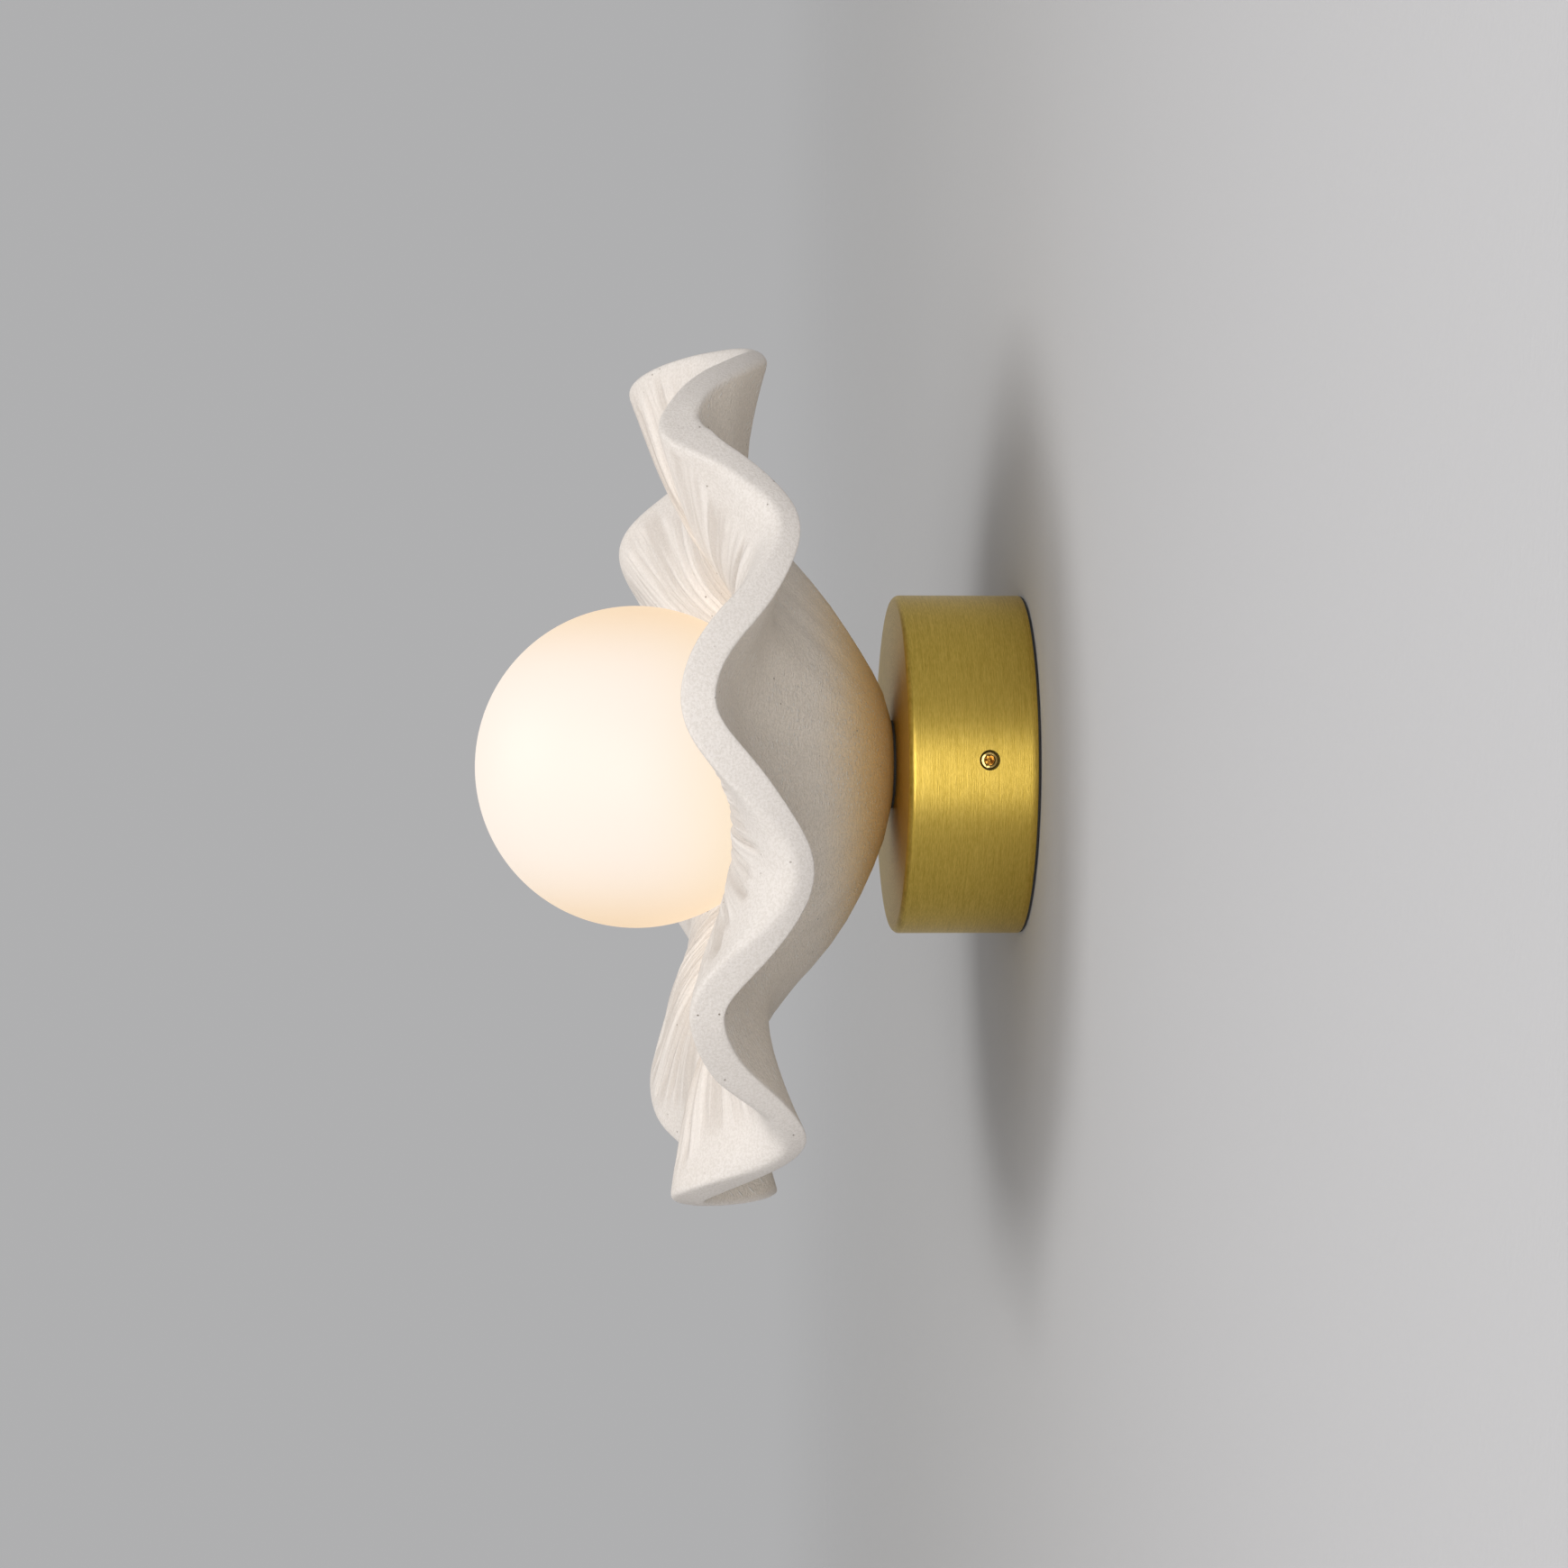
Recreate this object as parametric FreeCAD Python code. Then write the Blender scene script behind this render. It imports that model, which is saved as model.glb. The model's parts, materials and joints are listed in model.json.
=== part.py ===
"""Wall light: a ruffled ceramic shade and an opal glass globe on a round brass wall cup.

Sizes are in millimetres. +Z is up, the wall is the plane Y = 0 and the light stands out along -Y.
"Depth" below is the distance from the wall, so a point at depth d has Y = -d.
"""
import FreeCAD
import Part
import math
import os

Vector = FreeCAD.Vector
INTO_ROOM = Vector(0, -1, 0)

# Shared by the whole model: how far cuts run past a face, and the step slopes are measured over
CUT_PAST = 1.0
SLOPE_STEP = 0.02

# Fits shared by the whole fitting
RUNNING_PLAY = 0.05       # between pieces that turn, slide or plug in each other
LOOSE_PLAY = 0.2          # between pieces that only pass through each other

# Wall cup, the turned brass cover that hides the bracket
CUP_RADIUS = 50.0
CUP_DEPTH = 37.5
CUP_WALL = 1.5
CUP_EDGE = 3.0            # outer rounding between the side and the front face
CUP_INNER_EDGE = 1.5
GASKET_THICK = 0.5
GASKET_WIDTH = 5.0
GASKET_INSET = 0.2        # how far the gasket hides behind the cup's rim

# Wall bracket, the steel plate with two forward lugs that the set screws press on
BRACKET_THICK = 1.5
BRACKET_RADIUS = 38.0
LUG_WIDTH = 16.0
LUG_REACH = 22.0          # depth of the lug's tip
LUG_BEND = 1.8
CABLE_HOLE_RADIUS = 10.0
WALL_SLOT_SPACING = 60.0
WALL_SLOT_RADIUS = 2.3
WALL_SLOT_LENGTH = 12.0

# Set screws (M5, hexagon socket) in brass bosses inside the cup
SET_SCREW_RADIUS = 2.5
SET_SCREW_LENGTH = 8.0
SET_SCREW_SUNK = 0.8      # below the cup's outer surface
SET_SCREW_DEPTH = 14.7
SET_SCREW_HEIGHT = 1.0    # above the cup's axis
SET_SCREW_CHAMFER = 0.5
HEX_SOCKET_FLATS = 2.5
HEX_SOCKET_DEPTH = 2.5
CUP_SCREW_HOLE_RADIUS = 2.9
BOSS_RADIUS = 4.5
BOSS_LENGTH = 4.0

# Threaded tube (M10) that clamps cup, shade and globe holder together, and its nuts
TUBE_RADIUS = 5.0
TUBE_BORE_RADIUS = 3.6
TUBE_PAST_NUT = 2.0
TUBE_IN_CAP = 5.0
LOCK_NUT_FLATS = 14.0
LOCK_NUT_THICK = 3.0
HOLDER_NUT_THICK = 2.5
NUT_WASHER_RADIUS = 9.0
NUT_WASHER_THICK = 1.0
SOFT_WASHER_INSET = 1.0   # from the shade's seat inwards
CUP_WASHER_THICK = 0.8
SHADE_WASHER_THICK = 1.0

# Strap inside the cup that carries the terminal block and the earth tag
STRAP_THICK = 1.2
STRAP_WIDTH = 14.0
STRAP_TOP = 37.0
STRAP_BOTTOM = 30.0
STRAP_STEP_START = 10.5
STRAP_STEP_END = 13.5
STRAP_STEP_HEIGHT = 3.5

# Ceramic shade: a bowl that flares into a brim with eight hand-pressed ruffles
SHADE_WALL = 9.9
SHADE_SEAT_RADIUS = 14.0
SHADE_HOLE_RADIUS = 6.0
SHADE_RIM_RADIUS = 127.0
SHADE_RIM_EDGE = 2.2      # rounding of the rim's cut edge
SHADE_RIM_SQUARENESS = 0.45
SHADE_HANG = 3.0          # the hand-made brim hangs this much lower than the cup's axis
SHADE_HANG_REACH = 24.0   # over which the hang sets in, from the seat's edge outwards
RUFFLE_START = 30.0       # from the seat's edge to where the ruffles begin
# Middle of the wall: (distance past the seat's edge, rise above the middle of the seat)
SHADE_PROFILE = [(0.0, 0.0), (9.0, 2.9), (18.0, 7.3), (28.0, 13.3), (36.0, 19.1), (42.0, 24.3), (48.0, 29.9),
                 (56.0, 36.7), (64.0, 41.9), (72.0, 45.3), (80.0, 47.1), (91.0, 48.3), (113.0, 49.0)]
# Crests and troughs of the rim, going round, with one stop on a lopsided slope:
# (angle from +X towards +Z, forward shift, wider by, how late towards the rim it sets in)
RUFFLES = [
    (52.2, 14.7, -2.5, 1.6), (45.0, -1.0, -2.0, 1.6), (32.5, -14.3, 0.0, 1.6), (9.5, 11.7, 0.0, 1.6),
    (-12.5, -18.0, 0.0, 3.0), (-32.6, 8.2, 0.0, 1.6), (-56.5, -19.0, 0.0, 1.7), (-76.0, 8.2, 0.5, 1.6),
    (-97.0, -17.5, -0.5, 1.6), (-129.0, 8.2, 0.0, 1.6), (-153.0, -8.3, 0.0, 1.6), (-172.5, 11.7, -1.0, 1.6),
    (-191.0, -10.3, 0.0, 1.6), (-214.0, 16.6, -1.0, 1.6), (-231.0, -8.3, -1.0, 1.6),
    (-252.0, 16.8, -3.2, 1.6), (-278.0, -12.7, -1.6, 2.4)]
SHADE_POLES_ROUND = 144
SHADE_POLES_ALONG = 15
SHADE_POLES_EDGE = 7

# Opal glass globe with a screw neck
GLOBE_RADIUS = 47.5
GLOBE_WALL = 2.5
GLOBE_CENTRE_DEPTH = 113.8
GLOBE_DROP = 0.8          # the neck rests on the lower side of its loose collar
NECK_RADIUS = 20.0
NECK_GAP = 7.0            # between the neck's end and the holder's floor
SEAL_THICK = 3.0          # section of the silicone ring round the neck

# Brass globe holder on the shade's floor: a flat foot, a cone and a short collar
HOLDER_BASE = 1.5
HOLDER_WALL = 2.5
HOLDER_FOOT_INSET = 1.5   # from the shade's seat inwards
HOLDER_CONE = 6.0

# Lampholder (G9)
CAP_RADIUS = 9.0
CAP_LENGTH = 14.5
CAP_WALL = 1.0
BODY_RADIUS = 10.0
BODY_LENGTH = 14.0
BODY_SPIGOT = 2.5
BODY_EDGE = 1.0
PIN_SPACING = 9.0
PIN_LENGTH = 6.5
PIN_LOOP_WIDTH = 2.6
PIN_THICK = 0.7
POCKET_DEPTH = 9.0
POCKET_WIDTH = 1.8
POCKET_BREADTH = 3.4
CONTACT_THICK = 0.3
CONTACT_BREADTH = 2.8
CONTACT_HEIGHT = 7.4

# Lamp (G9 LED capsule)
LAMP_BASE_RADIUS = 7.8
LAMP_BASE_LENGTH = 10.0
LAMP_BASE_EDGE = 0.8
LAMP_COVER_RADIUS = 8.2
LAMP_COVER_LENGTH = 36.0
LAMP_COVER_WALL = 1.0
LAMP_COVER_FLAT = 0.2     # radius of the flat left at the dome's top
LED_BOARD_WIDTH = 9.0
LED_BOARD_THICK = 1.6
LED_BOARD_LENGTH = 24.0
LED_CHIP = 2.2
LED_CHIP_THICK = 0.7
LED_CHIP_ROWS = 5

# Three-pole terminal block on the strap
BLOCK_PITCH = 9.0
BLOCK_WIDTH = 27.0
BLOCK_LENGTH = 16.0
BLOCK_HEIGHT = 14.0
BLOCK_CENTRE_Z = 26.0
BLOCK_BORE_HEIGHT = 7.8   # from the strap to the wires
INSERT_RADIUS = 2.4
INSERT_BORE_RADIUS = 1.5
INSERT_LENGTH = 13.0
CLAMP_SCREW_RADIUS = 1.4
CLAMP_SCREW_SPACING = 7.0
CLAMP_SCREW_SUNK = 1.0
FIXING_SCREW_RADIUS = 1.5
FIXING_HEAD_RADIUS = 2.6
FIXING_HEAD_THICK = 1.2
SCREW_SLOT_WIDTH = 0.6
SCREW_SLOT_DEPTH = 0.7

# Earth tag and its M4 screw at the strap's lower end
EARTH_Z = -22.0
EARTH_SCREW_RADIUS = 2.0
EARTH_SCREW_PAST = 1.5
EARTH_HEAD_RADIUS = 3.6
EARTH_HEAD_THICK = 2.4
TAG_RADIUS = 4.4
TAG_THICK = 0.8
TAG_BARREL_RADIUS = 1.7
TAG_BARREL_LENGTH = 5.0
TAG_BARREL_LAP = 0.5      # how far the barrel laps over the eye
TAG_BARREL_SHUT = 1.0     # the crimped part without a bore

# Leads
LEAD_RADIUS = 0.95
LEAD_CORE_RADIUS = 0.6
LEAD_SPREAD = 1.5         # half the distance between the two leads in the tube

LEAD_BEND_ROOM = 2.0      # from a straight end to the next bend
LEAD_FOOT = 4.0           # straight run below the terminal block
EARTH_LEAD_BOW = 8.0      # how far towards the wall the earth lead swings past the tube's end
EARTH_LEAD_HIGH = 5.5
EARTH_LEAD_LOW = 4.0
EARTH_LEAD_RUN = 3.5      # straight run above the tag's barrel

# Radii that follow from the shade's seat
SOFT_WASHER_RADIUS = SHADE_SEAT_RADIUS - SOFT_WASHER_INSET
HOLDER_FOOT_RADIUS = SHADE_SEAT_RADIUS - HOLDER_FOOT_INSET

# Depths that follow from the stack of pieces on the tube
CUP_BACK = GASKET_THICK
CUP_FRONT = CUP_BACK + CUP_DEPTH
CUP_INSIDE = CUP_FRONT - CUP_WALL
STRAP_BACK = CUP_INSIDE - STRAP_THICK
NUT_WASHER_BACK = STRAP_BACK - NUT_WASHER_THICK
LOCK_NUT_BACK = NUT_WASHER_BACK - LOCK_NUT_THICK
TUBE_BACK = LOCK_NUT_BACK - TUBE_PAST_NUT
SHADE_SEAT = CUP_FRONT + CUP_WASHER_THICK
SHADE_FLOOR = SHADE_SEAT + SHADE_WALL
HOLDER_BACK = SHADE_FLOOR + SHADE_WASHER_THICK
HOLDER_FLOOR = HOLDER_BACK + HOLDER_BASE
CAP_BACK = HOLDER_FLOOR + HOLDER_NUT_THICK
TUBE_FRONT = CAP_BACK + TUBE_IN_CAP
BODY_BACK = CAP_BACK + CAP_LENGTH
BODY_FRONT = BODY_BACK + BODY_LENGTH
COVER_BACK = BODY_FRONT + LAMP_BASE_LENGTH
CAP_FLOOR = TUBE_FRONT + LOOSE_PLAY
SHELF_BACK = STRAP_BACK - STRAP_STEP_HEIGHT
BLOCK_BACK = SHELF_BACK - BLOCK_HEIGHT
WIRE_DEPTH = SHELF_BACK - BLOCK_BORE_HEIGHT

# The seal's ring bears on the globe and sits on the holder's rim
SEAL_RADIUS = SEAL_THICK / 2
SEAL_RING_RADIUS = NECK_RADIUS + SEAL_RADIUS + RUNNING_PLAY
SEAL_REACH = GLOBE_RADIUS + SEAL_RADIUS + RUNNING_PLAY
SEAL_DEPTH = GLOBE_CENTRE_DEPTH - math.sqrt(SEAL_REACH ** 2 - SEAL_RING_RADIUS ** 2)
HOLDER_FRONT = SEAL_DEPTH - SEAL_RADIUS
HOLDER_BORE = NECK_RADIUS + GLOBE_DROP + RUNNING_PLAY
HOLDER_RADIUS = HOLDER_BORE + HOLDER_WALL


def at(x, depth, z=0.0):
    """A point by its place across, its depth from the wall and its height."""
    return Vector(x, -depth, z)


def disc(radius, back, front, x=0.0, z=0.0):
    """A round bar along the depth, from one depth to another."""
    return Part.makeCylinder(radius, front - back, at(x, back, z), INTO_ROOM)


def ring(outer, inner, back, front):
    return disc(outer, back, front).cut(disc(inner, back, front))


def block(x0, x1, back, front, z0, z1):
    """A box between two places across, two depths and two heights."""
    return Part.makeBox(x1 - x0, front - back, z1 - z0, Vector(x0, -front, z0))


def hexagon_bar(flats, origin, direction, length):
    """A six-sided bar with the given size across its flats."""
    points = []
    corner = flats / math.sqrt(3.0)
    for i in range(7):
        turn = math.radians(60.0 * i)
        points.append(Vector(corner * math.cos(turn), corner * math.sin(turn), 0))
    bar = Part.Face(Part.makePolygon(points)).extrude(Vector(0, 0, length))
    bar.Placement = FreeCAD.Placement(origin, FreeCAD.Rotation(Vector(0, 0, 1), direction))
    return bar


def lathe(outline):
    """A solid of revolution about the light's axis from (radius, depth) points."""
    points = [at(radius, depth) for radius, depth in outline]
    face = Part.Face(Part.makePolygon(points + points[:1]))
    return face.revolve(Vector(0, 0, 0), Vector(0, 1, 0), 360)


def rounded(shape, radius, chosen):
    """Rounds the edges that the test picks."""
    edges = [edge for edge in shape.Edges if chosen(edge)]
    return shape.makeFillet(radius, edges)


def is_circle_at(edge, radius, depth):
    """True for a full circle about the light's axis with this radius and depth."""
    curve = edge.Curve
    if not isinstance(curve, Part.Circle):
        return False
    return abs(curve.Radius - radius) < 1e-4 and abs(curve.Center.y + depth) < 1e-4


def bent_path(points):
    """Straight runs joined by tangent arcs, each as large as its two runs allow."""
    edges = []
    start = points[0]
    for before, corner, after in zip(points, points[1:], points[2:]):
        into = (corner - before).normalize()
        out = (after - corner).normalize()
        turn = math.acos(max(-1.0, min(1.0, into.dot(out))))
        setback = 0.45 * min(corner.distanceToPoint(before), corner.distanceToPoint(after))
        first = corner - into * setback
        last = corner + out * setback
        radius = setback / math.tan(turn / 2)
        inward = (out - into).normalize()
        centre = corner + inward * (radius / math.cos(turn / 2))
        middle = centre - inward * radius
        edges.append(Part.LineSegment(start, first).toShape())
        edges.append(Part.Arc(first, middle, last).toShape())
        start = last
    edges.append(Part.LineSegment(start, points[-1]).toShape())
    return Part.Wire(edges)


def wire_along(points, radius):
    """A round wire that follows a bent path."""
    path = bent_path(points)
    direction = points[1] - points[0]
    section = Part.Wire(Part.makeCircle(radius, points[0], direction))
    return path.makePipeShell([section], True, False)


def wall_gasket():
    outer = CUP_RADIUS - GASKET_INSET
    return ring(outer, outer - GASKET_WIDTH, 0, GASKET_THICK)


def lug_face():
    """Where a set screw's tip meets the bracket, measured from the axis."""
    return CUP_RADIUS - SET_SCREW_SUNK - SET_SCREW_LENGTH


def slot(centre_x, back, front):
    """A slotted hole that runs along X."""
    reach = WALL_SLOT_LENGTH / 2 - WALL_SLOT_RADIUS
    straight = block(centre_x - reach, centre_x + reach, back, front, -WALL_SLOT_RADIUS, WALL_SLOT_RADIUS)
    near = disc(WALL_SLOT_RADIUS, back, front, centre_x - reach)
    far = disc(WALL_SLOT_RADIUS, back, front, centre_x + reach)
    return straight.fuse([near, far])


def bracket_arm(side):
    """A tongue of the plate, bent forward into a lug."""
    face = lug_face()
    outline = [(0, 0), (face, 0), (face, LUG_REACH), (face - BRACKET_THICK, LUG_REACH),
               (face - BRACKET_THICK, BRACKET_THICK), (0, BRACKET_THICK), (0, 0)]
    points = [at(side * x, depth, -LUG_WIDTH / 2) for x, depth in outline]
    arm = Part.Face(Part.makePolygon(points)).extrude(Vector(0, 0, LUG_WIDTH))
    corner = at(side * face, 0)

    def is_bend(edge):
        middle = edge.CenterOfMass
        return abs(middle.x - corner.x) < 1e-4 and abs(middle.y) < 1e-4 and abs(middle.z) < 1e-4

    return rounded(arm, LUG_BEND, is_bend)


def wall_bracket():
    plate = disc(BRACKET_RADIUS, 0, BRACKET_THICK)
    plate = plate.fuse([bracket_arm(1), bracket_arm(-1)]).removeSplitter()
    cuts = [disc(CABLE_HOLE_RADIUS, 0, BRACKET_THICK)]
    for side in (-1, 1):
        cuts.append(slot(side * WALL_SLOT_SPACING / 2, 0, BRACKET_THICK))
    return plate.cut(cuts)


def wall_cup():
    outline = [(TUBE_RADIUS + LOOSE_PLAY, CUP_INSIDE), (CUP_RADIUS - CUP_WALL, CUP_INSIDE),
               (CUP_RADIUS - CUP_WALL, CUP_BACK), (CUP_RADIUS, CUP_BACK),
               (CUP_RADIUS, CUP_FRONT), (TUBE_RADIUS + LOOSE_PLAY, CUP_FRONT)]
    cup = lathe(outline)
    cup = rounded(cup, CUP_EDGE, lambda edge: is_circle_at(edge, CUP_RADIUS, CUP_FRONT))
    cup = rounded(cup, CUP_INNER_EDGE, lambda edge: is_circle_at(edge, CUP_RADIUS - CUP_WALL, CUP_INSIDE))
    start = at(-CUP_RADIUS - CUT_PAST, SET_SCREW_DEPTH, SET_SCREW_HEIGHT)
    across = Part.makeCylinder(CUP_SCREW_HOLE_RADIUS, 2 * (CUP_RADIUS + CUT_PAST), start, Vector(1, 0, 0))
    return cup.cut(across)


def set_screw_bosses():
    """A brass boss brazed inside the cup at each screw, shaped to the cup's wall."""
    inside = CUP_RADIUS - CUP_WALL
    drum = disc(inside, CUP_BACK, CUP_INSIDE)
    bosses = []
    for side in (-1, 1):
        start = at(side * (inside - BOSS_LENGTH), SET_SCREW_DEPTH, SET_SCREW_HEIGHT)
        out = Vector(side, 0, 0)
        bar = Part.makeCylinder(BOSS_RADIUS, BOSS_LENGTH + CUT_PAST, start, out)
        bore = Part.makeCylinder(SET_SCREW_RADIUS + RUNNING_PLAY, BOSS_LENGTH + CUT_PAST, start, out)
        bosses.append(bar.cut(bore).common(drum))
    return Part.makeCompound(bosses)


def set_screw(side):
    """A headless screw whose tip presses on the bracket's lug."""
    out = Vector(side, 0, 0)
    tip = at(side * lug_face(), SET_SCREW_DEPTH, SET_SCREW_HEIGHT)
    screw = Part.makeCylinder(SET_SCREW_RADIUS, SET_SCREW_LENGTH, tip, out)
    ends = [edge for edge in screw.Edges if isinstance(edge.Curve, Part.Circle)]
    screw = screw.makeChamfer(SET_SCREW_CHAMFER, ends)
    floor = lug_face() + SET_SCREW_LENGTH - HEX_SOCKET_DEPTH
    socket_floor = at(side * floor, SET_SCREW_DEPTH, SET_SCREW_HEIGHT)
    socket = hexagon_bar(HEX_SOCKET_FLATS, socket_floor, out, HEX_SOCKET_DEPTH)
    return screw.cut(socket)


def threaded_tube():
    return ring(TUBE_RADIUS, TUBE_BORE_RADIUS, TUBE_BACK, TUBE_FRONT)


def tube_nut(back, thick):
    nut = hexagon_bar(LOCK_NUT_FLATS, at(0, back), INTO_ROOM, thick)
    return nut.cut(disc(TUBE_RADIUS, back, back + thick))


def tube_washer(radius, back, thick):
    return ring(radius, TUBE_RADIUS + LOOSE_PLAY, back, back + thick)


def strap():
    """A strip bent in two steps, so that its ends stand off the cup for the screws."""
    outline = [(STRAP_TOP, SHELF_BACK), (STRAP_STEP_END, SHELF_BACK), (STRAP_STEP_START, STRAP_BACK),
               (-STRAP_STEP_START, STRAP_BACK), (-STRAP_STEP_END, SHELF_BACK), (-STRAP_BOTTOM, SHELF_BACK)]
    front = [(z, depth + STRAP_THICK) for z, depth in reversed(outline)]
    loop = outline + front + outline[:1]
    points = [at(-STRAP_WIDTH / 2, depth, z) for z, depth in loop]
    strip = Part.Face(Part.makePolygon(points)).extrude(Vector(STRAP_WIDTH, 0, 0))
    shelf_back = SHELF_BACK - CUT_PAST
    shelf_front = SHELF_BACK + STRAP_THICK + CUT_PAST
    holes = [disc(TUBE_RADIUS + LOOSE_PLAY, STRAP_BACK - CUT_PAST, CUP_INSIDE + CUT_PAST),
             disc(EARTH_SCREW_RADIUS, shelf_back, shelf_front, z=EARTH_Z),
             disc(FIXING_SCREW_RADIUS, shelf_back, shelf_front, BLOCK_PITCH / 2, BLOCK_CENTRE_Z)]
    return strip.cut(holes)


def rate_at(points, i):
    """The slope of the curve below at one of its points: level at ends, crests and troughs."""
    if i == 0 or i == len(points) - 1:
        return 0.0
    before = (points[i][1] - points[i - 1][1]) / (points[i][0] - points[i - 1][0])
    after = (points[i + 1][1] - points[i][1]) / (points[i + 1][0] - points[i][0])
    if before * after <= 0:
        return 0.0
    return 2 * before * after / (before + after)


def smooth_curve(points, x):
    """Height at x on a smooth curve through the points that never swings past them."""
    if x <= points[0][0]:
        return points[0][1]
    if x >= points[-1][0]:
        return points[-1][1]
    i = 0
    while points[i + 1][0] < x:
        i += 1
    (x0, y0), (x1, y1) = points[i], points[i + 1]
    span = x1 - x0
    t = (x - x0) / span
    rise = y1 - y0
    lead_in = rate_at(points, i) * span - rise
    lead_out = rise - rate_at(points, i + 1) * span
    return y0 + t * rise + t * (1 - t) * (lead_in * (1 - t) + lead_out * t)


def ruffle(angle, column):
    """One column of the table of ruffles at any angle in degrees."""
    first = RUFFLES[0][0]
    stops = [(first - stop[0], stop[column]) for stop in RUFFLES]
    before = (stops[-1][0] - 360.0, stops[-1][1])
    after = [(place + 360.0, value) for place, value in stops[:2]]
    return smooth_curve([before] + stops + after, (first - angle) % 360.0)


def shade_middle(radius, angle):
    """The middle of the shade's wall at a radius and an angle in degrees."""
    past_seat = max(0.0, radius - SHADE_SEAT_RADIUS)
    whole = SHADE_RIM_RADIUS - SHADE_SEAT_RADIUS
    growth = max(0.0, past_seat - RUFFLE_START) / (whole - RUFFLE_START)
    rise = smooth_curve(SHADE_PROFILE, past_seat) + ruffle(angle, 1) * growth ** ruffle(angle, 3)
    depth = SHADE_SEAT + SHADE_WALL / 2 + rise
    wide = radius + ruffle(angle, 2) * past_seat / whole
    hang = SHADE_HANG * min(1.0, past_seat / SHADE_HANG_REACH)
    turn = math.radians(angle)
    return at(wide * math.cos(turn), depth, wide * math.sin(turn) - hang)


def shade_point(radius, angle, off_middle, past_rim):
    """A point off the wall's middle: towards the room, and outwards past the given radius."""
    step = SLOPE_STEP
    here = shade_middle(radius, angle)
    outward = (here - shade_middle(radius - step, angle)).normalize()
    if radius <= SHADE_SEAT_RADIUS:
        outward = Vector(math.cos(math.radians(angle)), 0, math.sin(math.radians(angle)))
    along = shade_middle(radius, angle + step) - shade_middle(radius, angle - step)
    forward = outward.cross(along).normalize()
    if forward.y > 0:
        forward = forward * -1
    return here + forward * off_middle + outward * past_rim


def shade_section():
    """Stations over the wall, from the floor over the rim to the seat: (radius, off middle, past rim)."""
    half = SHADE_WALL / 2
    last = SHADE_RIM_RADIUS - SHADE_RIM_EDGE
    radii = []
    for i in range(SHADE_POLES_ALONG):
        radii.append(SHADE_SEAT_RADIUS + (last - SHADE_SEAT_RADIUS) * i / (SHADE_POLES_ALONG - 1))
    stations = [(radius, half, 0.0) for radius in radii]
    for i in range(1, SHADE_POLES_EDGE + 1):
        turn = math.pi * (0.5 - i / (SHADE_POLES_EDGE + 1))
        side = math.copysign(abs(math.sin(turn)) ** SHADE_RIM_SQUARENESS, math.sin(turn))
        out = abs(math.cos(turn)) ** SHADE_RIM_SQUARENESS
        stations.append((last, half * side, SHADE_RIM_EDGE * out))
    stations += [(radius, -half, 0.0) for radius in reversed(radii)]
    return stations


def ceramic_shade():
    """One smooth skin from the floor round the rim to the seat, closed by two flat discs."""
    poles = []
    for radius, off_middle, past_rim in shade_section():
        row = []
        for i in range(SHADE_POLES_ROUND):
            row.append(shade_point(radius, 360.0 * i / SHADE_POLES_ROUND, off_middle, past_rim))
        poles.append(row)
    spans = len(poles) - 3
    skin = Part.BSplineSurface()
    skin.buildFromPolesMultsKnots(
        poles,
        [4] + [1] * (spans - 1) + [4],
        [1] * (SHADE_POLES_ROUND + 1),
        [float(i) for i in range(spans + 1)],
        [float(i) for i in range(SHADE_POLES_ROUND + 1)],
        False, True, 3, 3)
    skin_face = skin.toShape()
    loops = [edge for edge in skin_face.Edges if edge.isClosed()]
    discs = [Part.Face(Part.Wire(edge)) for edge in loops]
    shell = Part.makeShell([skin_face] + discs)
    shell.sewShape()
    solid = Part.makeSolid(shell)
    if solid.Volume < 0:
        solid.reverse()
    return solid.cut(disc(SHADE_HOLE_RADIUS, SHADE_SEAT - CUT_PAST, SHADE_FLOOR + CUT_PAST))


def globe_holder():
    """A turned brass cup that takes the globe's neck."""
    hole = TUBE_RADIUS + LOOSE_PLAY
    outline = [(hole, HOLDER_BACK), (HOLDER_FOOT_RADIUS, HOLDER_BACK),
               (HOLDER_RADIUS, HOLDER_BACK + HOLDER_CONE), (HOLDER_RADIUS, HOLDER_FRONT),
               (HOLDER_BORE, HOLDER_FRONT), (HOLDER_BORE, HOLDER_FLOOR + HOLDER_CONE),
               (HOLDER_FOOT_RADIUS - HOLDER_WALL, HOLDER_FLOOR), (hole, HOLDER_FLOOR)]
    return lathe(outline)


def sphere_arc(radius, neck):
    """The half outline of a sphere from its front pole to the neck's radius."""
    centre = GLOBE_CENTRE_DEPTH
    low = centre - math.sqrt(radius ** 2 - neck ** 2)
    pole = at(0, centre + radius)
    side = at(radius, centre)
    end = at(neck, low)
    return Part.Arc(pole, side, end).toShape(), pole, end


def glass_globe():
    inner_neck = NECK_RADIUS - GLOBE_WALL
    neck_end = HOLDER_FLOOR + NECK_GAP
    outer, outer_pole, outer_end = sphere_arc(GLOBE_RADIUS, NECK_RADIUS)
    inner, inner_pole, inner_end = sphere_arc(GLOBE_RADIUS - GLOBE_WALL, inner_neck)
    corners = [outer_end, at(NECK_RADIUS, neck_end), at(inner_neck, neck_end), inner_end]
    sides = [Part.LineSegment(a, b).toShape() for a, b in zip(corners, corners[1:])]
    axis = Part.LineSegment(inner_pole, outer_pole).toShape()
    outline = Part.Wire(Part.sortEdges([outer] + sides + [inner, axis])[0])
    globe = Part.Face(outline).revolve(Vector(0, 0, 0), Vector(0, 1, 0), 360)
    return globe.translated(at(0, 0, -GLOBE_DROP))


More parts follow.
